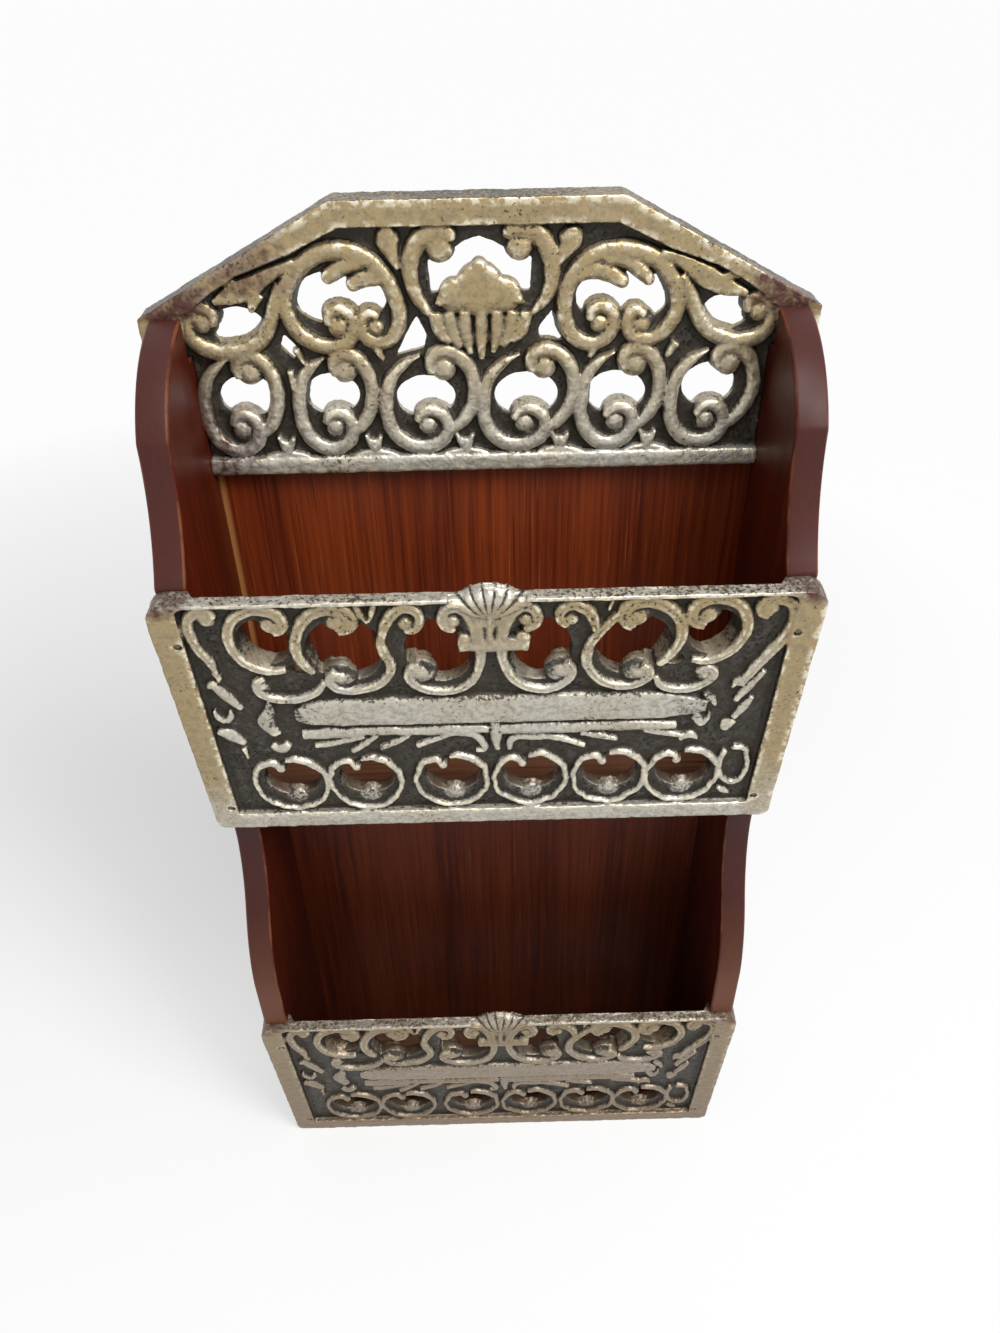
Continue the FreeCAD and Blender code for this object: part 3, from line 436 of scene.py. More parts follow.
def knob_tree():
    """Domed knobs on drafted feet, one on each drawn point, as wide as the point's size."""
    tree, given = new_tree("scroll_knobs", [
        ("Places", "Object"), ("Foot", "Float"), ("Crown", "Float"), ("Dome", "Float"), ("Draft", "Float"),
        ("Metal", "Material")])
    places = node(tree, "GeometryNodeObjectInfo", {"Object": given["Places"]}).outputs["Geometry"]
    size = node(tree, "GeometryNodeInputNamedAttribute", {"Name": "size"}).outputs["Attribute"]
    shoulder = node(tree, "ShaderNodeMath", {0: given["Crown"], 1: given["Dome"]}, operation="SUBTRACT")
    depth = node(tree, "ShaderNodeMath", {0: shoulder, 1: given["Foot"]}, operation="SUBTRACT")
    post = node(tree, "GeometryNodeMeshCone",
                {"Vertices": KNOB_SIDES, "Radius Top": 1.0, "Radius Bottom": given["Draft"], "Depth": 1.0})
    dome = node(tree, "GeometryNodeMeshUVSphere",
                {"Segments": KNOB_SIDES, "Rings": KNOB_SIDES // 2, "Radius": 1.0})
    parts = []
    for shape, tall, level in ((post, depth, given["Foot"]), (dome, given["Dome"], shoulder)):
        up = node(tree, "ShaderNodeCombineXYZ", {"Z": level})
        stood = node(tree, "GeometryNodeSetPosition", {"Geometry": places, "Offset": up})
        scale = node(tree, "ShaderNodeCombineXYZ", {"X": size, "Y": size, "Z": tall})
        parts.append(node(tree, "GeometryNodeInstanceOnPoints",
                          {"Points": stood, "Instance": shape, "Scale": scale}))
    both = node(tree, "GeometryNodeJoinGeometry")
    for part in parts:
        wire(tree, both, {0: part})
    return end_tree(tree, both, given["Metal"])


def plate_tree():
    """A plate with its piercings: closed outlines filled, the inner ones left open, and raised."""
    tree, given = new_tree("pierced_plate", [
        ("Outlines", "Object"), ("Foot", "Float"), ("Thickness", "Float"), ("Step", "Float"),
        ("Metal", "Material")])
    lines = node(tree, "GeometryNodeObjectInfo", {"Object": given["Outlines"]}).outputs["Geometry"]
    even = node(tree, "GeometryNodeResampleCurve", {"Curve": lines, "Length": given["Step"]}, mode="LENGTH")
    sheet = node(tree, "GeometryNodeFillCurve", {"Curve": even})
    up = node(tree, "ShaderNodeCombineXYZ", {"Z": given["Foot"]})
    foot = node(tree, "GeometryNodeSetPosition", {"Geometry": sheet, "Offset": up})
    walls = node(tree, "GeometryNodeExtrudeMesh",
                 {"Mesh": foot, "Offset Scale": given["Thickness"], "Individual": False}).outputs["Mesh"]
    under = node(tree, "GeometryNodeFlipFaces", {"Mesh": foot})
    both = node(tree, "GeometryNodeJoinGeometry")
    for part in (walls, under):
        wire(tree, both, {0: part})
    closed = node(tree, "GeometryNodeMergeByDistance", {"Geometry": both, "Distance": WELD})
    return end_tree(tree, closed, given["Metal"])


def skin_tree():
    """The hand of the sand mould: a slow ripple and a fine grain along the normals."""
    tree, given = new_tree("sand_cast_skin", [
        ("Geometry", "Geometry"), ("Ripple", "Float"), ("Ripple size", "Float"), ("Grain", "Float"),
        ("Grain size", "Float"), ("Metal", "Material")])
    place = node(tree, "GeometryNodeInputPosition")
    out = node(tree, "GeometryNodeInputNormal")
    shape = given["Geometry"]
    for depth, size in (("Ripple", "Ripple size"), ("Grain", "Grain size")):
        fine = node(tree, "ShaderNodeMath", {0: 1.0, 1: given[size]}, operation="DIVIDE")
        wave = node(tree, "ShaderNodeTexNoise", {"Vector": place, "Scale": fine, "Detail": 2.0})
        centred = node(tree, "ShaderNodeMath", {0: wave, 1: 0.5}, operation="SUBTRACT")
        far = node(tree, "ShaderNodeMath", {0: centred, 1: given[depth]}, operation="MULTIPLY")
        push = node(tree, "ShaderNodeVectorMath", {0: out, "Scale": far}, operation="SCALE")
        shape = node(tree, "GeometryNodeSetPosition", {"Geometry": shape, "Offset": push})
    return end_tree(tree, shape, given["Metal"])


def link(name, data):
    made = bpy.data.objects.new(name, data)
    scene.collection.objects.link(made)
    return made


def grow(tree, base=None, **values):
    """Run a tree with its named inputs and give the plain mesh that it makes."""
    carrier = link(tree.name, base or bpy.data.meshes.new(tree.name))
    run = carrier.modifiers.new(tree.name, "NODES")
    run.node_group = tree
    for socket in tree.interface.items_tree:
        if socket.in_out == "INPUT" and socket.name.replace(" ", "_") in values:
            run[socket.identifier] = values[socket.name.replace(" ", "_")]
    return baked(carrier)


def baked(obj):
    """The object's evaluated mesh, with the object itself removed."""
    graph = bpy.context.evaluated_depsgraph_get()
    mesh = bpy.data.meshes.new_from_object(obj.evaluated_get(graph), depsgraph=graph)
    bpy.data.objects.remove(obj)
    return mesh


def half_widths(widths, count):
    """A half-width for each of a stroke's points."""
    if len(widths) == count:
        return widths
    start, middle, end = widths
    shares = [i / (count - 1) for i in range(count)]
    ends = [start if share < 0.5 else end for share in shares]
    return [end + (middle - end) * math.sin(share * math.pi) for share, end in zip(shares, ends)]


def drawn_strokes(strokes):
    data = bpy.data.curves.new("strokes", "CURVE")
    data.dimensions = "3D"
    data.resolution_u = 16
    for points, widths in strokes:
        spline = data.splines.new("BEZIER")
        spline.bezier_points.add(len(points) - 1)
        for bead, point, half in zip(spline.bezier_points, points, half_widths(widths, len(points))):
            bead.co = point if len(point) == 3 else (point[0], point[1], 0)
            bead.radius = half
        for bead in spline.bezier_points:
            bead.handle_left_type = "AUTO"
            bead.handle_right_type = "AUTO"
    return link("strokes", data)


def drawn_outlines(outlines):
    data = bpy.data.curves.new("outlines", "CURVE")
    data.dimensions = "3D"
    for outline in outlines:
        spline = data.splines.new("POLY")
        spline.points.add(len(outline) - 1)
        for bead, point in zip(spline.points, outline):
            bead.co = (point[0], point[1], 0, 1)
        spline.use_cyclic_u = True
    return link("outlines", data)


def drawn_section(half):
    """A closed section from its left half."""
    return drawn_outlines([half + [(-x, y) for x, y in reversed(half[:-1])]])


def drawn_places(places):
    mesh = bpy.data.meshes.new("places")
    mesh.from_pydata([(x, y, 0) for x, y, size in places], [], [])
    mesh.attributes.new("size", "FLOAT", "POINT").data.foreach_set("value", [size for x, y, size in places])
    return link("places", mesh)


def fattened(strokes, share, more):
    """Strokes made heavier along their run, with their ends left fine."""
    heavy = []
    for points, widths in strokes:
        run = [half * share + more for half in widths[1:-1]]
        heavy.append((points, [widths[0]] + run + [widths[-1]]))
    return heavy


def mirrored(points):
    return [(-p[0],) + tuple(p[1:]) for p in points]


def shifted(points, x, stretch=1.0):
    return [(p[0] * stretch + x,) + tuple(p[1:]) for p in points]


def oval(x, y, half_w, half_h, count=48):
    turns = [2 * math.pi * i / count for i in range(count)]
    return [(x + half_w * math.cos(a), y + half_h * math.sin(a)) for a in turns]


def rounded_box(half_w, low, high, radii, count=8):
    """A box outline with its own radius at each corner, from the lower right round to the lower left."""
    corners = [(half_w, low, -90), (half_w, high, 0), (-half_w, high, 90), (-half_w, low, 180)]
    points = []
    for (x, y, start), radius in zip(corners, radii):
        cx = x - math.copysign(radius, x)
        cy = y + radius if y == low else y - radius
        for i in range(count + 1):
            a = math.radians(start + 90 * i / count)
            points.append((cx + radius * math.cos(a), cy + radius * math.sin(a)))
    return points


def pin_tree():
    """Pins driven home: one on each place, its head turned the way that the place's arrow points."""
    tree, given = new_tree("driven_pins", [("Places", "Object"), ("Pin", "Object"), ("Steel", "Material")])
    places = node(tree, "GeometryNodeObjectInfo", {"Object": given["Places"]}).outputs["Geometry"]
    pin = node(tree, "GeometryNodeObjectInfo", {"Object": given["Pin"]}).outputs["Geometry"]
    out = node(tree, "GeometryNodeInputNamedAttribute", {"Name": "out"}, data_type="FLOAT_VECTOR")
    turn = node(tree, "FunctionNodeAlignRotationToVector", {"Vector": out.outputs["Attribute"]}, axis="Z")
    driven = node(tree, "GeometryNodeInstanceOnPoints",
                  {"Points": places, "Instance": pin, "Rotation": turn})
    return end_tree(tree, driven, given["Steel"])


trees = {"scroll": scroll_tree(), "knob": knob_tree(), "plate": plate_tree(), "skin": skin_tree(),
         "pins": pin_tree()}
round_section = drawn_section(ROUND_SECTION)
grooved_section = drawn_section(GROOVED_SECTION)
flat_section = drawn_section(FLAT_SECTION)
petal_section = drawn_section(PETAL_SECTION)


def bands(strokes, section, crown, metal, wobble=0.25, wave=9.0, foot=0.0):
    drawing = drawn_strokes(strokes)
    mesh = grow(trees["scroll"], Drawing=drawing, Section=section, Foot=foot, Crown=crown, Step=STROKE_STEP,
                Wobble=wobble, Wobble_size=wave, Metal=metal)
    bpy.data.objects.remove(drawing)
    return mesh


def knobs(places, crown, metal, dome=2.0, draft=1.5, foot=0.0):
    points = drawn_places(places)
    mesh = grow(trees["knob"], Places=points, Foot=foot, Crown=crown, Dome=dome, Draft=draft, Metal=metal)
    bpy.data.objects.remove(points)
    return mesh


def plate(outlines, thickness, metal, foot=0.0):
    drawing = drawn_outlines(outlines)
    mesh = grow(trees["plate"], Outlines=drawing, Foot=foot, Thickness=thickness, Step=OUTLINE_STEP,
                Metal=metal)
    bpy.data.objects.remove(drawing)
    return mesh


def trimmed(mesh, top):
    """A piece kept below a height, so that its foot stays inside the casting's edge."""
    places, normals = vertex_arrays(mesh)
    places[:, 1] = np.minimum(places[:, 1], top)
    mesh.vertices.foreach_set("co", places.ravel())
    return mesh


def smooth_step(low, high, values):
    t = np.clip((values - low) / (high - low), 0, 1)
    return t * t * (3 - 2 * t)


def vertex_arrays(mesh):
    count = len(mesh.vertices)
    places = np.zeros(count * 3)
    normals = np.zeros(count * 3)
    mesh.vertices.foreach_get("co", places)
    mesh.vertex_normals.foreach_get("vector", normals)
    return places.reshape(-1, 3), normals.reshape(-1, 3)


def paint(mesh, name, values):
    layer = mesh.attributes.new(name, "FLOAT", "POINT")
    layer.data.foreach_set("value", np.clip(values, 0, 1).astype(np.float32))


def repaint(mesh, name, share, value):
    """Move a painted layer towards a value, by each vertex's share."""
    old = np.zeros(len(mesh.vertices))
    mesh.attributes[name].data.foreach_get("value", old)
    fresh = np.clip(old + share * (value - old), 0, 1)
    mesh.attributes[name].data.foreach_set("value", fresh.astype(np.float32))


def levelled(heights, reach):
    """A height map with each cell at the mean of the cells within reach, run twice each way."""
    span = 2 * reach + 1
    for axis in (0, 1, 0, 1):
        pad = [(reach + 1, reach) if i == axis else (0, 0) for i in (0, 1)]
        sums = np.cumsum(np.pad(heights, pad, mode="edge"), axis=axis)
        ends = np.take(sums, range(span, sums.shape[axis]), axis=axis)
        starts = np.take(sums, range(sums.shape[axis] - span), axis=axis)
        heights = (ends - starts) / span
    return heights


def antique(mesh, ground, top, rim):
    """Where the black wash stays: sunk ground, creases, and walls, less where they face up. On the walls
    and in the holes it is also painted shade, and the up-facing walls kept light are painted light. The
    rubbed layer is a painted highlight on the convex crowns.

    Ground and top are heights of the face, and rim is the height of the upper edge.
    """
    places, normals = vertex_arrays(mesh)
    height = places[:, 2]
    cells = np.floor((places[:, :2] - places[:, :2].min(axis=0)) / WASH_CELL).astype(int)
    face = normals[:, 2] > 0.2
    heights = np.full(cells.max(axis=0) + 1, ground - 2.0)
    np.maximum.at(heights, tuple(cells[face].T), height[face])
    crease = np.clip((levelled(heights, WASH_REACH)[tuple(cells.T)] - height) / CREASE_DEPTH, -1, 1)
    dent = np.clip((levelled(heights, 1)[tuple(cells.T)] - height) / DENT_DEPTH, -1, 1)
    sunk = smooth_step(0.3, 0.9, (top - height) / (top - ground))
    upward = smooth_step(-0.1, 0.75, normals[:, 1])
    steep = smooth_step(0.3, 0.75, 1 - normals[:, 2])
    low = 1 - smooth_step(ground - 0.8, ground + 0.3, height)
    hollow = 0.45 * np.maximum(crease, 0) + 0.35 * np.maximum(dent, 0)
    # Walls and holes below the ground take painted shade on top of the black wash; up-facing walls get
    # little of it, as painted light
    wash = SUNK_WASH * sunk + WALL_WASH_AND_SHADE * steep + hollow - 0.25 * np.maximum(-crease, 0)
    wash = wash * (1 - low) + HOLE_WASH_AND_SHADE * low
    ledge = steep * upward
    wash = wash * (1 - ledge) + (LIT_LEDGE_WASH + 0.5 * hollow * (1 - low)) * ledge
    behind = smooth_step(0.3, 0.8, -normals[:, 2])
    edge = smooth_step(0.5, 0.9, normals[:, 1]) * smooth_step(rim - 2, rim - 0.8, places[:, 1])
    paint(mesh, "wash", (wash * (1 - behind) + BACK_WASH * behind) * (1 - edge) + EDGE_WASH * edge)
    # The rubbed layer: convex crowns rubbed bright, and a painted highlight on them
    painted_highlight = smooth_step(0.1, 0.55, -crease) * (0.7 + 0.5 * np.maximum(-dent, 0))
    paint(mesh, "rubbed", painted_highlight * (1 - low) * (1 - sunk) * (1 - edge))


def melted(name, meshes, metal, *levels):
    """Overlapping pieces melted into one cast skin, softened, grained, washed and thinned."""
    pool = bmesh.new()
    for mesh in meshes:
        pool.from_mesh(mesh)
        bpy.data.meshes.remove(mesh)
    raw = bpy.data.meshes.new(name)
    pool.to_mesh(raw)
    pool.free()
    blank = link(name, raw)
    melt = blank.modifiers.new("melt", "REMESH")
    melt.mode = "VOXEL"
    melt.voxel_size = CAST_GRAIN
    soften = blank.modifiers.new("soften", "SMOOTH")
    soften.factor = 0.5
    soften.iterations = 2
    skin = grow(trees["skin"], base=baked(blank), Ripple=0.8, Ripple_size=6.0, Grain=0.4, Grain_size=1.6,
                Metal=metal)
    antique(skin, *levels)
    triangles = sum(len(face.vertices) - 2 for face in skin.polygons)
    heavy = link(name, skin)
    thin = heavy.modifiers.new("thin", "DECIMATE")
    thin.ratio = min(1.0, CAST_TRIANGLES / triangles)
    mesh = baked(heavy)
    mesh.name = name
    mesh.shade_smooth()
    return mesh


def placed(name, mesh, matrix):
    piece = link(name, mesh)
    mesh.transform(matrix)
    mesh.update()
    return piece


def shell_flutes():
    """The scallop's flutes: fanned from its root, swelling in the middle and dipping at the rim."""
    flutes = []
    for i in range(SHELL_FLUTES):
        step = i - (SHELL_FLUTES - 1) / 2
        aim = math.pi / 2 - SHELL_FAN * step
        reach = SHELL_R + 0.4 * abs(step)
        points = []
        for share, lift in SHELL_SWELL:
            points.append((SHELL_ROOT[0] + share * reach * math.cos(aim),
                           SHELL_ROOT[1] + share * reach * math.sin(aim), lift))
        flutes.append((points, SHELL_WIDTHS))
    return flutes


def from_top(box):
    """A rounded box's outline from its upper left corner round to its upper right one."""
    half = len(box) // 2
    return box[half:] + box[:half]


def front_casting(metal):
    """A front: pierced ground, plain borders and rims, scrolls, plaque, leafy stem and scallop shell."""
    half_w = FRONT_W / 2
    outline = rounded_box(half_w, 0, FRONT_H, (3.5, 7.0, 7.0, 3.5))
    field_w = half_w - FRONT_BORDER
    field_top = FRONT_H - FRONT_TOP_RIM
    field = rounded_box(field_w, FRONT_FOOT_RIM, field_top, (1.0, 3.0, 3.0, 1.0))
    border = [(-SHELL_GAP, FRONT_H)] + from_top(outline) + [(SHELL_GAP, FRONT_H), (SHELL_GAP, field_top)]
    border += list(reversed(from_top(field))) + [(-SHELL_GAP, field_top)]
    holes = list(FRONT_HOLES)
    ring_strokes = []
    ring_knobs = []
    ring_mounds = []
    for x in FRONT_RING_XS:
        holes += shifted([FRONT_RING_HOLE], x)
        ring_strokes += [(shifted(points, x), widths) for points, widths in FRONT_RING_SCROLLS]
        ring_knobs += shifted(FRONT_RING_KNOBS, x)
        ring_mounds += shifted(FRONT_RING_MOUNDS, x)
    brads = [oval(x, y, BRAD_SINK, BRAD_SINK, 16) for x, y in BRAD_PLACES]
    meshes = [
        plate([outline] + [oval(*hole) for hole in holes] + brads, FRONT_GROUND, metal),
        plate([border] + brads, FRONT_T, metal),
        knobs([SHELL_BOSS], FRONT_T - 1.2, metal, dome=2.2, draft=1.05),
        bands(shell_flutes(), round_section, FRONT_T - 0.6, metal, wobble=0.1),
    ]
    relief = [
        knobs(FRONT_CURLS, FRONT_CROWN - 0.9, metal, dome=2.8, draft=1.0, foot=2.5),
        bands(fattened(FRONT_SCROLLS, 0.8, 0.55), grooved_section, FRONT_CROWN, metal),
        knobs(FRONT_KNOBS, FRONT_CROWN + 0.1, metal, dome=1.8),
        bands(ring_strokes + FRONT_BLIND_RING, round_section, FRONT_CROWN - 0.2, metal, wobble=1.3,
              wave=5.0),
        knobs(ring_knobs, FRONT_CROWN - 0.3, metal),
        knobs(ring_mounds, FRONT_GROUND + 0.9, metal, dome=3.0, draft=1.3, foot=2.5),
        bands(fattened(FRONT_LEAVES, 1.0, 0.55), round_section, FRONT_CROWN - 0.4, metal, wobble=0.7),
        bands(fattened(FRONT_STEM, 1.0, 0.35), round_section, FRONT_CROWN - 0.2, metal, wobble=0.7),
        bands([PLAQUE], flat_section, FRONT_CROWN, metal, wobble=0.4),
        bands([SHELL_BAR, SHELL_NECK], round_section, FRONT_CROWN + 0.2, metal, wobble=0.4),
        knobs(SHELL_BUDS, FRONT_CROWN, metal, dome=1.4),
    ]
    meshes += [trimmed(piece, field_top) for piece in relief]
    mesh = melted("front_casting", meshes, metal, FRONT_GROUND, FRONT_T, FRONT_H)
    places, normals = vertex_arrays(mesh)
    across, up, height = np.abs(places[:, 0]), places[:, 1], places[:, 2]
    drawn_in = smooth_step(FRONT_H - 14, FRONT_H - 2, up)
    drawn_in *= smooth_step(CREST_INNER_X, CREST_INNER_X - 3, across)
    places[:, 2] += FRONT_THINNED * drawn_in * np.maximum(0, 1 - height / (FRONT_THINNED + 1))
    mesh.vertices.foreach_set("co", places.ravel())
    in_hole = smooth_step(0.2, 0.7, normals[:, 1])
    in_hole *= smooth_step(FRONT_GROUND - 0.2, FRONT_GROUND - 1.2, height)
    paint(mesh, "dust", in_hole * (0.25 + 0.55 * smooth_step(*HOLE_DUST_Y, up)))
    for x, y, radius in ring_mounds:
        mound = smooth_step(radius + 1.4, radius, np.hypot(places[:, 0] - x, up - y)) * (normals[:, 2] > 0)
        repaint(mesh, "wash", mound, MOUND_WASH)
    border = smooth_step(field_w - 2, field_w, across)
    rim = smooth_step(field_top - 1, field_top, up)
    shoulder = smooth_step(*SHOULDER_GILT_X, places[:, 0]) * smooth_step(*SHOULDER_GILT_Y, up)
    golden = border * (0.3 + 0.65 * smooth_step(*BORDER_GILT_Y, up))
    paint(mesh, "gilt", (0.75 * smooth_step(*FRONT_GILT_Y, up) + golden + 0.5 * shoulder) * (1 - rim))
    paint(mesh, "bleed", smooth_step(*FRONT_STAIN_X, across) * smooth_step(*FRONT_STAIN_Y, up))
    fan = np.arctan2(places[:, 0] - SHELL_ROOT[0], up - SHELL_ROOT[1]) / SHELL_FAN
    out = np.hypot(places[:, 0] - SHELL_ROOT[0], up - SHELL_ROOT[1])
    shell = smooth_step(2.5, 5, out) * smooth_step(18, 16.5, out) * smooth_step(3.7, 3.3, np.abs(fan))
    groove = smooth_step(0.28, 0.45, np.abs(fan - np.round(fan)))
    repaint(mesh, "wash", shell * (normals[:, 2] > -0.3), 0.08 + 0.7 * groove)
    bar_low, bar_high = PLAQUE_SPAN
    bar = smooth_step(bar_low - 0.5, bar_low, up) * smooth_step(bar_high + 0.5, bar_high, up)
    brink = np.maximum(smooth_step(bar_low + 2.2, bar_low, up), smooth_step(bar_high - 2.2, bar_high, up))
    worn_end = smooth_step(*PLAQUE_WORN_X, across)
    repaint(mesh, "wash", 0.4 * bar * np.maximum(brink, worn_end) * (across < field_w - 22), 1.0)
    return mesh


def urn_flutes():
    """The basket's flutes: drops side by side under the lid, drawn together at the foot."""
    flutes = []
    for x in URN_FLUTE_XS:
        foot = URN_FOOT + 0.4 * abs(x)
        belly = (URN_FLUTE_TOP + foot) / 2
        points = [(x, URN_FLUTE_TOP), (0.99 * x, belly + 4), (0.88 * x, belly - 2), (0.68 * x, foot)]
        flutes.append((points, (1.8, 2.3, 2.1, 1.0)))
    return flutes


def crest_casting(metal):
    """The crest: pierced ground, gable border, foot rail, two rows of scrolls and the basket urn."""
    top_y = CREST_H - CREST_BORDER
    outer = [(CREST_HALF_W, CREST_EAR), (CREST_HALF_W, CREST_EAVE), (CREST_HALF_GABLE, CREST_H)]
    silhouette = [(CREST_INNER_X, 0), (CREST_INNER_X, CREST_EAR)] + outer
    inner = [(CREST_INNER_X + 2.5, CREST_EAR)] + CREST_BORDER_FOOT + [(CREST_HALF_GABLE - 2, top_y)]
    border = outer + mirrored(reversed(outer)) + mirrored(inner) + list(reversed(inner))
    holes = CREST_HOLES + CREST_RING_HOLES
    scrolls = list(CREST_SCROLLS)
    balls = list(CREST_KNOBS)
    curls = list(CREST_CURLS)
    for x, stretch in CREST_RINGS:
        scrolls += [(shifted(points, x, stretch), widths) for points, widths in CREST_RING_SCROLLS]
        balls += shifted(CREST_RING_KNOBS, x, stretch)
        curls += shifted(CREST_RING_CURLS, x, stretch)
    sprouts = [(shifted(points, x), widths) for x in SPROUT_XS for points, widths in SPROUT]
    rail_y = CREST_RAIL / 2
    rail = ([(-CREST_INNER_X, rail_y), (0, rail_y), (CREST_INNER_X, rail_y)], (rail_y, rail_y, rail_y))
    ground = [silhouette + mirrored(reversed(silhouette))] + [oval(*hole) for hole in holes] + CREST_GAPS
    meshes = [
        plate(ground, CREST_GROUND - CREST_HOLLOW, metal, foot=CREST_HOLLOW),
        plate([border], CREST_T, metal),
        plate([URN_LID + mirrored(reversed(URN_LID))], CREST_CROWN - 1.2 - CREST_HOLLOW, metal,
              foot=CREST_HOLLOW),
        plate([URN_BASKET + mirrored(reversed(URN_BASKET))], 3.4, metal, foot=CREST_HOLLOW),
        knobs(URN_SWELLS, CREST_CROWN + 0.2, metal, dome=1.7, draft=1.0, foot=CREST_HOLLOW),
        knobs(curls, CREST_CROWN - 1.3, metal, dome=3.4, draft=1.1, foot=CREST_HOLLOW),
        bands(fattened(scrolls, 0.9, 0.4), round_section, CREST_CROWN, metal, foot=CREST_HOLLOW),
        bands(CREST_LOBES, round_section, CREST_CROWN, metal, foot=CREST_HOLLOW),
        knobs(CREST_LOBE_TIPS, CREST_CROWN, metal, dome=1.2, draft=1.1, foot=CREST_HOLLOW),
        knobs(balls, CREST_CROWN + 0.2, metal, dome=2.4, draft=1.2, foot=CREST_HOLLOW),
        bands(CREST_LEAVES, flat_section, CREST_CROWN - 0.2, metal, foot=CREST_HOLLOW),
        bands(CREST_BUDS, round_section, CREST_CROWN - 0.1, metal, foot=CREST_HOLLOW),
        bands(sprouts, round_section, CREST_CROWN - 0.3, metal, wobble=0.6, foot=CREST_HOLLOW),
        bands([URN_BRIM], round_section, CREST_CROWN + 0.1, metal, wobble=0.3, foot=CREST_HOLLOW),
        bands(urn_flutes(), petal_section, CREST_CROWN - 0.1, metal, wobble=0.1, foot=CREST_HOLLOW),
        bands([rail], flat_section, CREST_T, metal, wobble=0.2),
    ]
    mesh = melted("crest_casting", meshes, metal, CREST_GROUND, CREST_T, CREST_H)
    places, normals = vertex_arrays(mesh)
    across, up = np.abs(places[:, 0]), places[:, 1]
    paint(mesh, "gilt", smooth_step(*CREST_GILT_Y, up))
    eaves = smooth_step(*EAVES_STAIN_X, across) * smooth_step(*EAVES_STAIN_Y, up)
    left_end = smooth_step(*LEFT_END_STAIN_X, places[:, 0]) * smooth_step(*LEFT_END_STAIN_Y, up)
    left_slope = smooth_step(*LEFT_SLOPE_STAIN_X, places[:, 0]) * smooth_step(*LEFT_SLOPE_STAIN_Y, up)
    paint(mesh, "bleed", np.maximum(eaves, 0.75 * np.maximum(left_slope, left_end)))
    slope = (CREST_H - CREST_EAVE) / (CREST_HALF_W - CREST_HALF_GABLE)
    brow = np.minimum(CREST_H, CREST_EAVE + slope * (CREST_HALF_W - across))
    brink = smooth_step(-1.4, -0.6, up - brow) * smooth_step(0.3, 0.8, normals[:, 1])
    repaint(mesh, "wash", brink, BROW_WASH)
    return mesh


def board_outline(solid, x):
    """The longest outline of a board's flat face at one x, as (y, z) points in order."""
    pool = bmesh.new()
    pool.from_mesh(solid.data)
    bmesh.ops.remove_doubles(pool, verts=pool.verts, dist=0.001 * MM)
    flat = {f for f in pool.faces if all(abs(v.co.x - x) < 0.01 * MM for v in f.verts)}
    rim = {e for e in pool.edges if sum(f in flat for f in e.link_faces) == 1}
    outlines = []
    while rim:
        edge = rim.pop()
        loop = [edge.verts[0], edge.verts[1]]
        while loop[-1] is not loop[0]:
            ahead = next(e for e in loop[-1].link_edges if e in rim)
            rim.remove(ahead)
            loop.append(ahead.other_vert(loop[-1]))
        outlines.append([(v.co.y, v.co.z) for v in loop[:-1]])
    pool.free()
    return max(outlines, key=len)


def side_board(name, wood):
    """A side with its edges eased by hand, worn to the bare wood along them."""
    low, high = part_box(name)
    outline = board_outline(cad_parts[name], low.x if high.x < 0 else high.x)
    pool = bmesh.new()
    face = pool.faces.new([pool.verts.new((low.x, y, z)) for y, z in outline])
    far = bmesh.ops.extrude_face_region(pool, geom=[face], use_keep_orig=True)["geom"]
    far_verts = [v for v in far if isinstance(v, bmesh.types.BMVert)]
    bmesh.ops.translate(pool, verts=far_verts, vec=(high.x - low.x, 0, 0))
    bmesh.ops.recalc_face_normals(pool, faces=pool.faces)
    sharp = [e for e in pool.edges if e.calc_face_angle(0) > math.radians(25)]
    bmesh.ops.bevel(pool, geom=sharp, offset=EASED_EDGE, segments=4, profile=0.5, affect="EDGES")
    for face in pool.faces:
        face.smooth = face.calc_area() < FLAT_FACE
    mesh = bpy.data.meshes.new(name + "_board")
    pool.to_mesh(mesh)
    pool.free()
    places, normals = vertex_arrays(mesh)
    deep = np.minimum(places[:, 0] - low.x, high.x - places[:, 0]) / EASED_EDGE
    paint(mesh, "wear", (deep > 0.05) & (deep < 0.9))
    paint(mesh, "edge", deep)
    mesh.materials.append(wood)
    return link(name + "_board", mesh)


def driven_places(name):
    """The pins of a node: the middle of each head's face and the way it looks out."""
    pool = bmesh.new()
    pool.from_mesh(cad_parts[name].data)
    bmesh.ops.remove_doubles(pool, verts=pool.verts, dist=0.001 * MM)
    left = set(pool.verts)
    heads = []
    outs = []
    while left:
        pin = [left.pop()]
        for vert in pin:
            near = {e.other_vert(vert) for e in vert.link_edges} & left
            left -= near
            pin.extend(near)
        points = np.array([v.co for v in pin])
        middle = (points.min(axis=0) + points.max(axis=0)) / 2
        out = np.linalg.svd(points - middle, full_matrices=False)[2][0]
        along = (points - middle) @ out
        wide = np.linalg.norm(points - middle - np.outer(along, out), axis=1)
        if along[wide.argmax()] < 0:
            out, along = -out, -along
        heads.append(points[along > along.max() - 0.01 * MM].mean(axis=0))
        outs.append(out)
    pool.free()
    mesh = bpy.data.meshes.new("places")
    mesh.from_pydata(heads, [], [])
    mesh.attributes.new("out", "FLOAT_VECTOR", "POINT").data.foreach_set("vector", np.ravel(outs))
    return link("places", mesh)


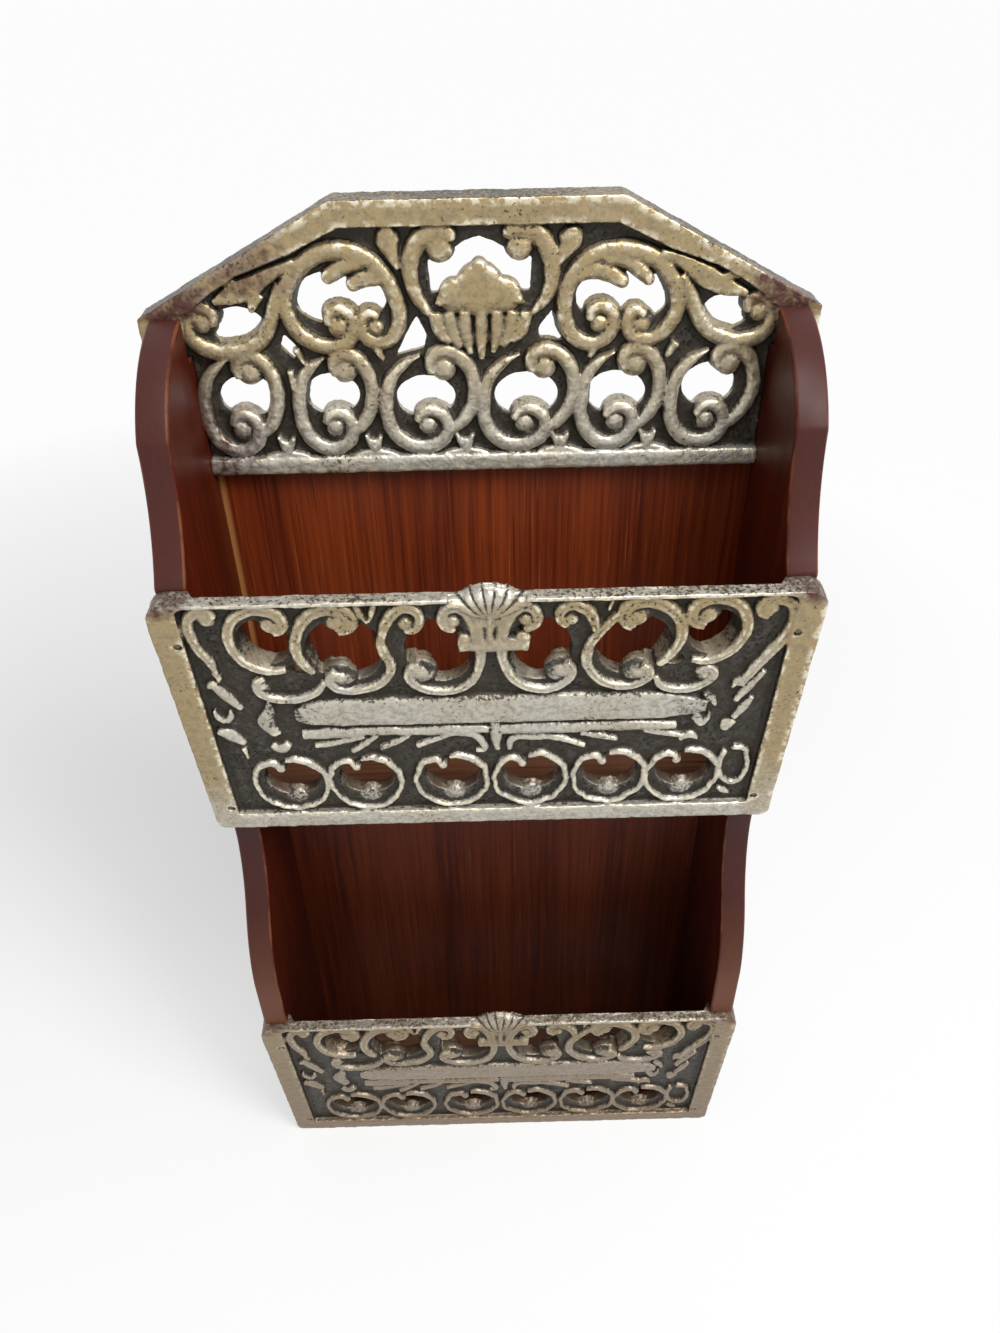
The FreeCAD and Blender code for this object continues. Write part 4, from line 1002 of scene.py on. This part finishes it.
def turned_pin(profile, slot=None):
    """A pin turned from its profile of radius and depth, with a driver's slot where it has one."""
    pool = bmesh.new()
    verts = [pool.verts.new((radius * MM, 0, depth * MM)) for radius, depth in profile]
    edges = [pool.edges.new(pair) for pair in zip(verts, verts[1:])]
    bmesh.ops.spin(pool, geom=verts + edges, cent=(0, 0, 0), axis=(0, 0, 1), angle=2 * math.pi, steps=20)
    bmesh.ops.remove_doubles(pool, verts=pool.verts, dist=0.005 * MM)
    bmesh.ops.recalc_face_normals(pool, faces=pool.faces)
    mesh = bpy.data.meshes.new("pin")
    pool.to_mesh(mesh)
    pool.free()
    pin = link("pin", mesh)
    if slot:
        wide, deep = slot
        cutter = bmesh.new()
        bmesh.ops.create_cube(cutter, size=1.0)
        bmesh.ops.scale(cutter, verts=cutter.verts, vec=(20 * MM, wide * MM, 2 * deep * MM))
        block = bpy.data.meshes.new("slot")
        cutter.to_mesh(block)
        cutter.free()
        saw = link("slot", block)
        cut = pin.modifiers.new("slot", "BOOLEAN")
        cut.object = saw
        pin = link("pin", baked(pin))
        bpy.data.objects.remove(saw)
    return pin


def new_material(name):
    made = bpy.data.materials.new(name)
    made.use_nodes = True
    return made, made.node_tree, made.node_tree.nodes["Principled BSDF"]


def antiqued_metal():
    """Cast aluminium, gilded and rubbed: bright on the heights with a painted highlight, black wash left in
    the sunk ground and painted shade on the walls.
    """
    metal, tree, shader = new_material("antiqued_cast_aluminium")
    at = node(tree, "ShaderNodeTexCoord").outputs["Object"]
    wash, gilt, bleed, rubbed, dust = [
        node(tree, "ShaderNodeAttribute", attribute_name=name).outputs["Fac"]
        for name in ("wash", "gilt", "bleed", "rubbed", "dust")]
    rub, grit, cloud = [
        node(tree, "ShaderNodeTexNoise", {"Vector": at, "Scale": 1 / size, "Detail": detail})
        for size, detail in ((2.8 * MM, 5.0), (1.2 * MM, 3.0), (30 * MM, 3.0))]

    # Silver to gilt, tarnish, rubbed crowns with a painted highlight, and the brown bled from the wood
    gold_edge = node(tree, "ShaderNodeMath", {0: gilt, 1: cloud}, operation="ADD")
    gold = node(tree, "ShaderNodeMapRange", {"Value": gold_edge, "From Min": 0.4, "From Max": 1.4})
    mottle = node(tree, "ShaderNodeMix", {0: 0.45, 2: rub, 3: grit})
    dulled = node(tree, "ShaderNodeMapRange",
                  {"Value": mottle, "From Min": 0.43, "From Max": 0.6, "To Max": 0.5})
    # Streaks of painted highlight on the rubbed crowns
    streaky = node(tree, "ShaderNodeMapRange", {"Value": rub, "From Min": 0.45, "From Max": 0.56})
    painted_highlight = node(tree, "ShaderNodeMath", {0: rubbed, 1: streaky}, operation="MULTIPLY")
    stain_edge = node(tree, "ShaderNodeMath", {0: bleed, 1: rub}, operation="MULTIPLY")
    stain = node(tree, "ShaderNodeMapRange", {"Value": stain_edge, "From Min": 0.2, "From Max": 0.5})
    colour = linear("#c4c0b5")
    for share, code in ((gold, "#a89570"), (dulled, "#7d725e"), (painted_highlight, "#e6dcc2"), (stain, "#5c4038")):
        colour = node(tree, "ShaderNodeMix", {0: share, 6: colour, 7: linear(code)}, data_type="RGBA")

    # Black wash with painted shade, dark grime with light-grey patches as painted glints, then pits, and
    # dust that on the lower copy is also painted shade
    rub_off = node(tree, "ShaderNodeMath", {0: rub, 1: 0.5}, operation="SUBTRACT")
    patchy = node(tree, "ShaderNodeMath", {0: rub_off, 1: 0.7, 2: wash}, operation="MULTIPLY_ADD")
    black = node(tree, "ShaderNodeMapRange",
                 {"Value": patchy, "From Min": 0.2, "From Max": 0.75}, interpolation_type="SMOOTHSTEP")
    # Light-grey patches in the black are painted glints
    glint_mottle = node(tree, "ShaderNodeMath", {0: wash, 1: -0.35, 2: mottle}, operation="MULTIPLY_ADD")
    glint_share = node(tree, "ShaderNodeMapRange", {"Value": glint_mottle, "From Min": 0.19, "From Max": 0.29})
    grime_and_glint = node(tree, "ShaderNodeMix",
                 {0: glint_share, 6: linear("#1b1a19"), 7: linear("#74716b")}, data_type="RGBA")
    colour = node(tree, "ShaderNodeMix", {0: black, 6: colour, 7: grime_and_glint}, data_type="RGBA")
    clustered = node(tree, "ShaderNodeMath", {0: cloud, 1: 0.5, 2: grit}, operation="MULTIPLY_ADD")
    gathered = node(tree, "ShaderNodeMath", {0: wash, 1: 0.4, 2: clustered}, operation="MULTIPLY_ADD")
    pit = node(tree, "ShaderNodeMapRange",
               {"Value": gathered, "From Min": 0.93, "From Max": 1.0, "To Max": 0.85})
    clean = node(tree, "ShaderNodeMath", {0: 1.0, 1: black}, operation="SUBTRACT")
    dust_and_shade_mix = node(tree, "ShaderNodeMath", {0: dust, 1: clean}, operation="MULTIPLY")
    for share, code in ((pit, "#3b352c"), (dust_and_shade_mix, "#7c6853")):
        colour = node(tree, "ShaderNodeMix", {0: share, 6: colour, 7: linear(code)}, data_type="RGBA")

    wire(tree, shader, {
        "Base Color": colour,
        "Roughness": node(tree, "ShaderNodeMapRange", {"Value": black, "To Min": 0.36, "To Max": 0.45}),
        "Metallic": node(tree, "ShaderNodeMapRange", {"Value": black, "To Min": 0.6, "To Max": 0.2}),
        "Specular IOR Level": 0.2,
        "Normal": node(tree, "ShaderNodeBump", {"Height": mottle, "Strength": 0.8, "Distance": 0.6 * MM})})
    return metal


def stained_mahogany(name, along_x, specular, coat, tones, joint=0.0):
    """Mahogany, stained dark red and lacquered: fine streaks along the grain under a soft gloss."""
    wood, tree, shader = new_material(name)
    at = node(tree, "ShaderNodeTexCoord").outputs["Object"]
    turn = (0, math.pi / 2, 0) if along_x else (0, 0, 0)
    turned = node(tree, "ShaderNodeMapping", {"Vector": at, "Rotation": turn})
    along = node(tree, "ShaderNodeMapping", {"Vector": turned, "Scale": (1, 1, GRAIN_STRETCH)})
    streak, pore, broad = [
        node(tree, "ShaderNodeTexNoise", {"Vector": along, "Scale": 1 / size, "Detail": detail})
        for size, detail in ((1.8 * MM, 4.0), (0.8 * MM, 2.0), (22 * MM, 3.0))]
    mixed = node(tree, "ShaderNodeMath", {0: broad, 1: 0.8, 2: streak}, operation="MULTIPLY_ADD")
    tone = node(tree, "ShaderNodeMapRange", {"Value": mixed, "From Min": 0.6, "From Max": 1.2})
    dark = node(tree, "ShaderNodeMapRange",
                {"Value": pore, "From Min": 0.42, "From Max": 0.3, "To Max": 0.6})
    pale = node(tree, "ShaderNodeMapRange",
                {"Value": pore, "From Min": 0.66, "From Max": 0.74, "To Max": 0.5})

    # A light line in the left corner of the upper pocket, and painted shade darkening the lower pocket
    spot = node(tree, "ShaderNodeSeparateXYZ", {0: at}).outputs
    left = node(tree, "ShaderNodeMapRange",
                {"Value": spot["X"], "From Min": LEFT_CORNER_LINE[0], "From Max": LEFT_CORNER_LINE[1], "To Max": joint})
    above = node(tree, "ShaderNodeMath", {0: spot["Z"], 1: UPPER_POCKET_Z}, operation="GREATER_THAN")
    inside = node(tree, "ShaderNodeMath", {0: spot["Y"], 1: BACK_FACE_Y}, operation="LESS_THAN")
    in_pocket = node(tree, "ShaderNodeMath", {0: above, 1: inside}, operation="MULTIPLY")
    showing = node(tree, "ShaderNodeMath", {0: left, 1: in_pocket}, operation="MULTIPLY")
    # Painted shade: the wood darkens down into the lower pocket
    depth = node(tree, "ShaderNodeMapRange",
                 {"Value": spot["Z"], "From Min": UPPER_POCKET_Z, "From Max": DEEPEST_SHADE_Z, "To Max": 0.6})
    colour = linear(tones[0])
    for share, code in ((tone, tones[1]), (dark, "#2a0b06"), (pale, "#a05a34"), (showing, "#b07a45"),
                        (depth, "#160604")):
        colour = node(tree, "ShaderNodeMix", {0: share, 6: colour, 7: linear(code)}, data_type="RGBA")

    # End grain on the edges, dark as its own colour and greyed as a painted sheen, darker with the lower
    # pocket's painted shade and orange-brown near the foot, and worn corners
    wear, edge = [
        node(tree, "ShaderNodeAttribute", attribute_name=layer).outputs["Fac"]
        for layer in ("wear", "edge")]
    patch = node(tree, "ShaderNodeTexNoise", {"Vector": at, "Scale": 1 / (12 * MM), "Detail": 5.0})
    rubbed = node(tree, "ShaderNodeMath", {0: wear, 1: patch}, operation="MULTIPLY")
    bare = node(tree, "ShaderNodeMapRange",
                {"Value": rubbed, "From Min": 0.4, "From Max": 0.65, "To Max": 0.7})
    on_edge_share = node(tree, "ShaderNodeMapRange", {"Value": edge, "To Max": 0.85})
    foot = node(tree, "ShaderNodeMapRange",
                {"Value": spot["Z"], "From Min": ORANGE_EDGE_Z[0], "From Max": ORANGE_EDGE_Z[1]})
    # End grain colour: darker than the faces as its own, greyed and lightened as a painted sheen
    end_grain_and_sheen = linear("#442420")
    for share, code in ((depth, "#2b1613"), (foot, "#6b3f29")):
        end_grain_and_sheen = node(tree, "ShaderNodeMix", {0: share, 6: end_grain_and_sheen, 7: linear(code)}, data_type="RGBA")
    edged = node(tree, "ShaderNodeMix", {0: on_edge_share, 6: colour, 7: end_grain_and_sheen}, data_type="RGBA")
    worn = node(tree, "ShaderNodeMix", {0: bare, 6: edged, 7: linear("#7d4a2e")}, data_type="RGBA")
    wire(tree, shader, {
        "Base Color": worn,
        "Roughness": node(tree, "ShaderNodeMapRange", {"Value": patch, "To Min": 0.3, "To Max": 0.55}),
        "Normal": node(tree, "ShaderNodeBump", {"Height": pore, "Strength": 0.25, "Distance": 0.1 * MM}),
        "IOR": 1.5,
        "Specular IOR Level": specular,
        "Coat Weight": coat,
        "Coat Roughness": 0.25})
    return wood


def blued_steel():
    """Mild steel wire, drawn and blued with age: dull dark grey, brown where it rusts."""
    steel, tree, shader = new_material("aged_blued_steel")
    at = node(tree, "ShaderNodeTexCoord").outputs["Object"]
    spot = node(tree, "ShaderNodeTexNoise", {"Vector": at, "Scale": 1 / (1.2 * MM), "Detail": 4.0})
    rust = node(tree, "ShaderNodeMapRange", {"Value": spot, "From Min": 0.45, "From Max": 0.65})
    wire(tree, shader, {
        "Base Color": node(tree, "ShaderNodeMix",
                           {0: rust, 6: linear("#6c675f"), 7: linear("#574538")}, data_type="RGBA"),
        "Metallic": node(tree, "ShaderNodeMapRange", {"Value": rust, "To Min": 0.9, "To Max": 0.2}),
        "Roughness": node(tree, "ShaderNodeMapRange", {"Value": rust, "To Min": 0.4, "To Max": 0.75}),
        "Normal": node(tree, "ShaderNodeBump", {"Height": spot, "Strength": 0.4, "Distance": 0.1 * MM})})
    return steel


def kept(piece, node_name):
    """Set a finished piece in the frame in place of its node."""
    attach(piece, "root")
    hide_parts(node_name)


metal = antiqued_metal()
side_wood = stained_mahogany("stained_mahogany_sides", False, 0.18, 0.03, ("#350c05", "#5f200c"))
back_wood = stained_mahogany("stained_mahogany_back", False, 0.25, 0.0, ("#4c1609", "#883a16"), joint=0.8)
floor_wood = stained_mahogany("stained_mahogany_floors", True, 0.25, 0.0, ("#6e452f", "#a87a5c"))
steel = blued_steel()

front_mesh = front_casting(metal)
for name, dust_and_shade_share in (("upper_front", 0.0), ("lower_front", 0.95)):
    low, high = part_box(name)
    foot_z = low.z / MM + FRONT_T * math.sin(FRONT_LEAN)
    lean = Matrix(((1, 0, 0, 0),
                   (0, -math.sin(FRONT_LEAN), -math.cos(FRONT_LEAN), high.y / MM),
                   (0, math.cos(FRONT_LEAN), -math.sin(FRONT_LEAN), foot_z),
                   (0, 0, 0, 1)))
    mesh = front_mesh.copy()
    places, normals = vertex_arrays(mesh)
    # The lower copy gets more dust colour towards its foot: dust, and painted shade of the lower tier
    repaint(mesh, "dust", dust_and_shade_share * (1 - 0.5 * places[:, 1] / FRONT_H), 1.0)
    kept(placed(name + "_casting", mesh, Matrix.Scale(MM, 4) @ lean), name)

low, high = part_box("crest")
stand = Matrix(((1, 0, 0, 0), (0, 0, -1, high.y / MM), (0, 1, 0, low.z / MM), (0, 0, 0, 1)))
crest = placed("crest_casting", crest_casting(metal), Matrix.Scale(MM, 4) @ stand)
kept(crest, "crest")

for name in ("left_side", "right_side"):
    kept(side_board(name, side_wood), name)
for name, wood in (("back_board", back_wood), ("upper_floor", floor_wood), ("lower_floor", floor_wood)):
    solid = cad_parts[name]
    solid.data.materials.clear()
    solid.data.materials.append(wood)

for profile, slot, names in (
        (BRAD_PROFILE, None, ("upper_front_brads", "lower_front_brads")),
        (NAIL_PROFILE, None, ("left_side_nails", "right_side_nails")),
        (BACK_NAIL_PROFILE, None, ("back_board_nails",)),
        (SCREW_PROFILE, SCREW_SLOT, ("crest_screws",))):
    pin = turned_pin(profile, slot)
    for name in names:
        places = driven_places(name)
        mesh = grow(trees["pins"], Places=places, Pin=pin, Steel=steel)
        bpy.data.objects.remove(places)
        mesh.name = name + "_driven"
        kept(link(mesh.name, mesh), name)
    bpy.data.objects.remove(pin)

for section in (round_section, grooved_section, flat_section, petal_section):
    bpy.data.objects.remove(section)
bpy.data.meshes.remove(front_mesh)


def seen_by_eye(tree):
    """One for rays that show the background: straight, mirrored or through glass."""
    ray = node(tree, "ShaderNodeLightPath").outputs
    either = node(tree, "ShaderNodeMath",
                  {0: ray["Is Camera Ray"], 1: ray["Is Glossy Ray"]}, operation="MAXIMUM")
    return node(tree, "ShaderNodeMath", {0: either, 1: ray["Is Transmission Ray"]}, operation="MAXIMUM")


# Stage: pale floor, even world light and three soft lamps
SHADOW_SPOT = (-0.2, 0.35, 0)   # round here the floor's glow gives way to the shadow
STAGE_HALF = 12
floor_mesh = bpy.data.meshes.new("studio_floor")
corners = [(x * STAGE_HALF, y * STAGE_HALF, 0) for x, y in ((-1, -1), (1, -1), (1, 1), (-1, 1))]
floor_mesh.from_pydata(corners, [], [(0, 1, 2, 3)])
studio_floor = link("studio_floor", floor_mesh)
paper, paper_tree, matt = new_material("white_paper")
wire(paper_tree, matt, {"Base Color": linear("#fbfbfb"), "Roughness": 0.9})
glow = node(paper_tree, "ShaderNodeEmission", {"Color": (1, 1, 1, 1), "Strength": 1.0})
flat = node(paper_tree, "ShaderNodeTexCoord").outputs["Object"]
away = node(paper_tree, "ShaderNodeVectorMath", {0: flat, 1: SHADOW_SPOT}, operation="DISTANCE")
share = node(paper_tree, "ShaderNodeMapRange",
             {"Value": away, "From Min": 0.08, "From Max": 0.7, "To Min": 0.3, "To Max": 0.96})
lifted = node(paper_tree, "ShaderNodeMath", {0: seen_by_eye(paper_tree), 1: share}, operation="MULTIPLY")
shown = node(paper_tree, "ShaderNodeMixShader", {0: lifted, 1: matt, 2: glow})
wire(paper_tree, paper_tree.nodes["Material Output"], {"Surface": shown})
floor_mesh.materials.append(paper)

world = bpy.data.worlds.new("studio")
scene.world = world
world.use_nodes = True
sky = world.node_tree
level = node(sky, "ShaderNodeMapRange", {"Value": seen_by_eye(sky), "To Min": 0.32, "To Max": 1.0})
wire(sky, sky.nodes["Background"], {"Color": (1, 1, 1, 1), "Strength": level})


def lamp(name, place, aim, size, power):
    light = bpy.data.lights.new(name, "AREA")
    light.energy = power
    light.size = size
    made = link(name, light)
    made.location = place
    made.rotation_euler = (Vector(aim) - Vector(place)).to_track_quat("-Z", "Y").to_euler()
    return made


middle = (0, 0, 0.25)
lamp("overhead_softbox", (0.2, -0.45, 1.4), middle, 0.5, 7.5)
lamp("left_softbox", (-1.2, -0.9, 0.9), middle, 0.8, 1.0)
lamp("right_softbox", (0.85, -0.75, 1.35), middle, 0.6, 14.0)

# Camera at the photograph's place
SENSOR = 36
FOCAL_PIXELS, PHOTO_HEIGHT = 1000, 1333
CAMERA_PLACE = Vector((0.0017, -0.31397, 0.5445))
YAW, PITCH, ROLL = math.radians(0.44), math.radians(37.2), math.radians(-1.12)
ahead = Vector((math.sin(YAW), math.cos(YAW), 0))
level_right = Vector((math.cos(YAW), -math.sin(YAW), 0))
aim = ahead * math.cos(PITCH) - Vector((0, 0, math.sin(PITCH)))
rise = Vector((0, 0, math.cos(PITCH))) + ahead * math.sin(PITCH)
right = level_right * math.cos(ROLL) + rise * math.sin(ROLL)
top = rise * math.cos(ROLL) - level_right * math.sin(ROLL)
view = bpy.data.cameras.new("photo_view")
view.sensor_width = SENSOR
view.lens = SENSOR * FOCAL_PIXELS / PHOTO_HEIGHT
view.clip_start = 0.01
eye = link("photo_view", view)
eye.matrix_world = Matrix.Translation(CAMERA_PLACE) @ Matrix((right, top, -aim)).transposed().to_4x4()
scene.camera = eye
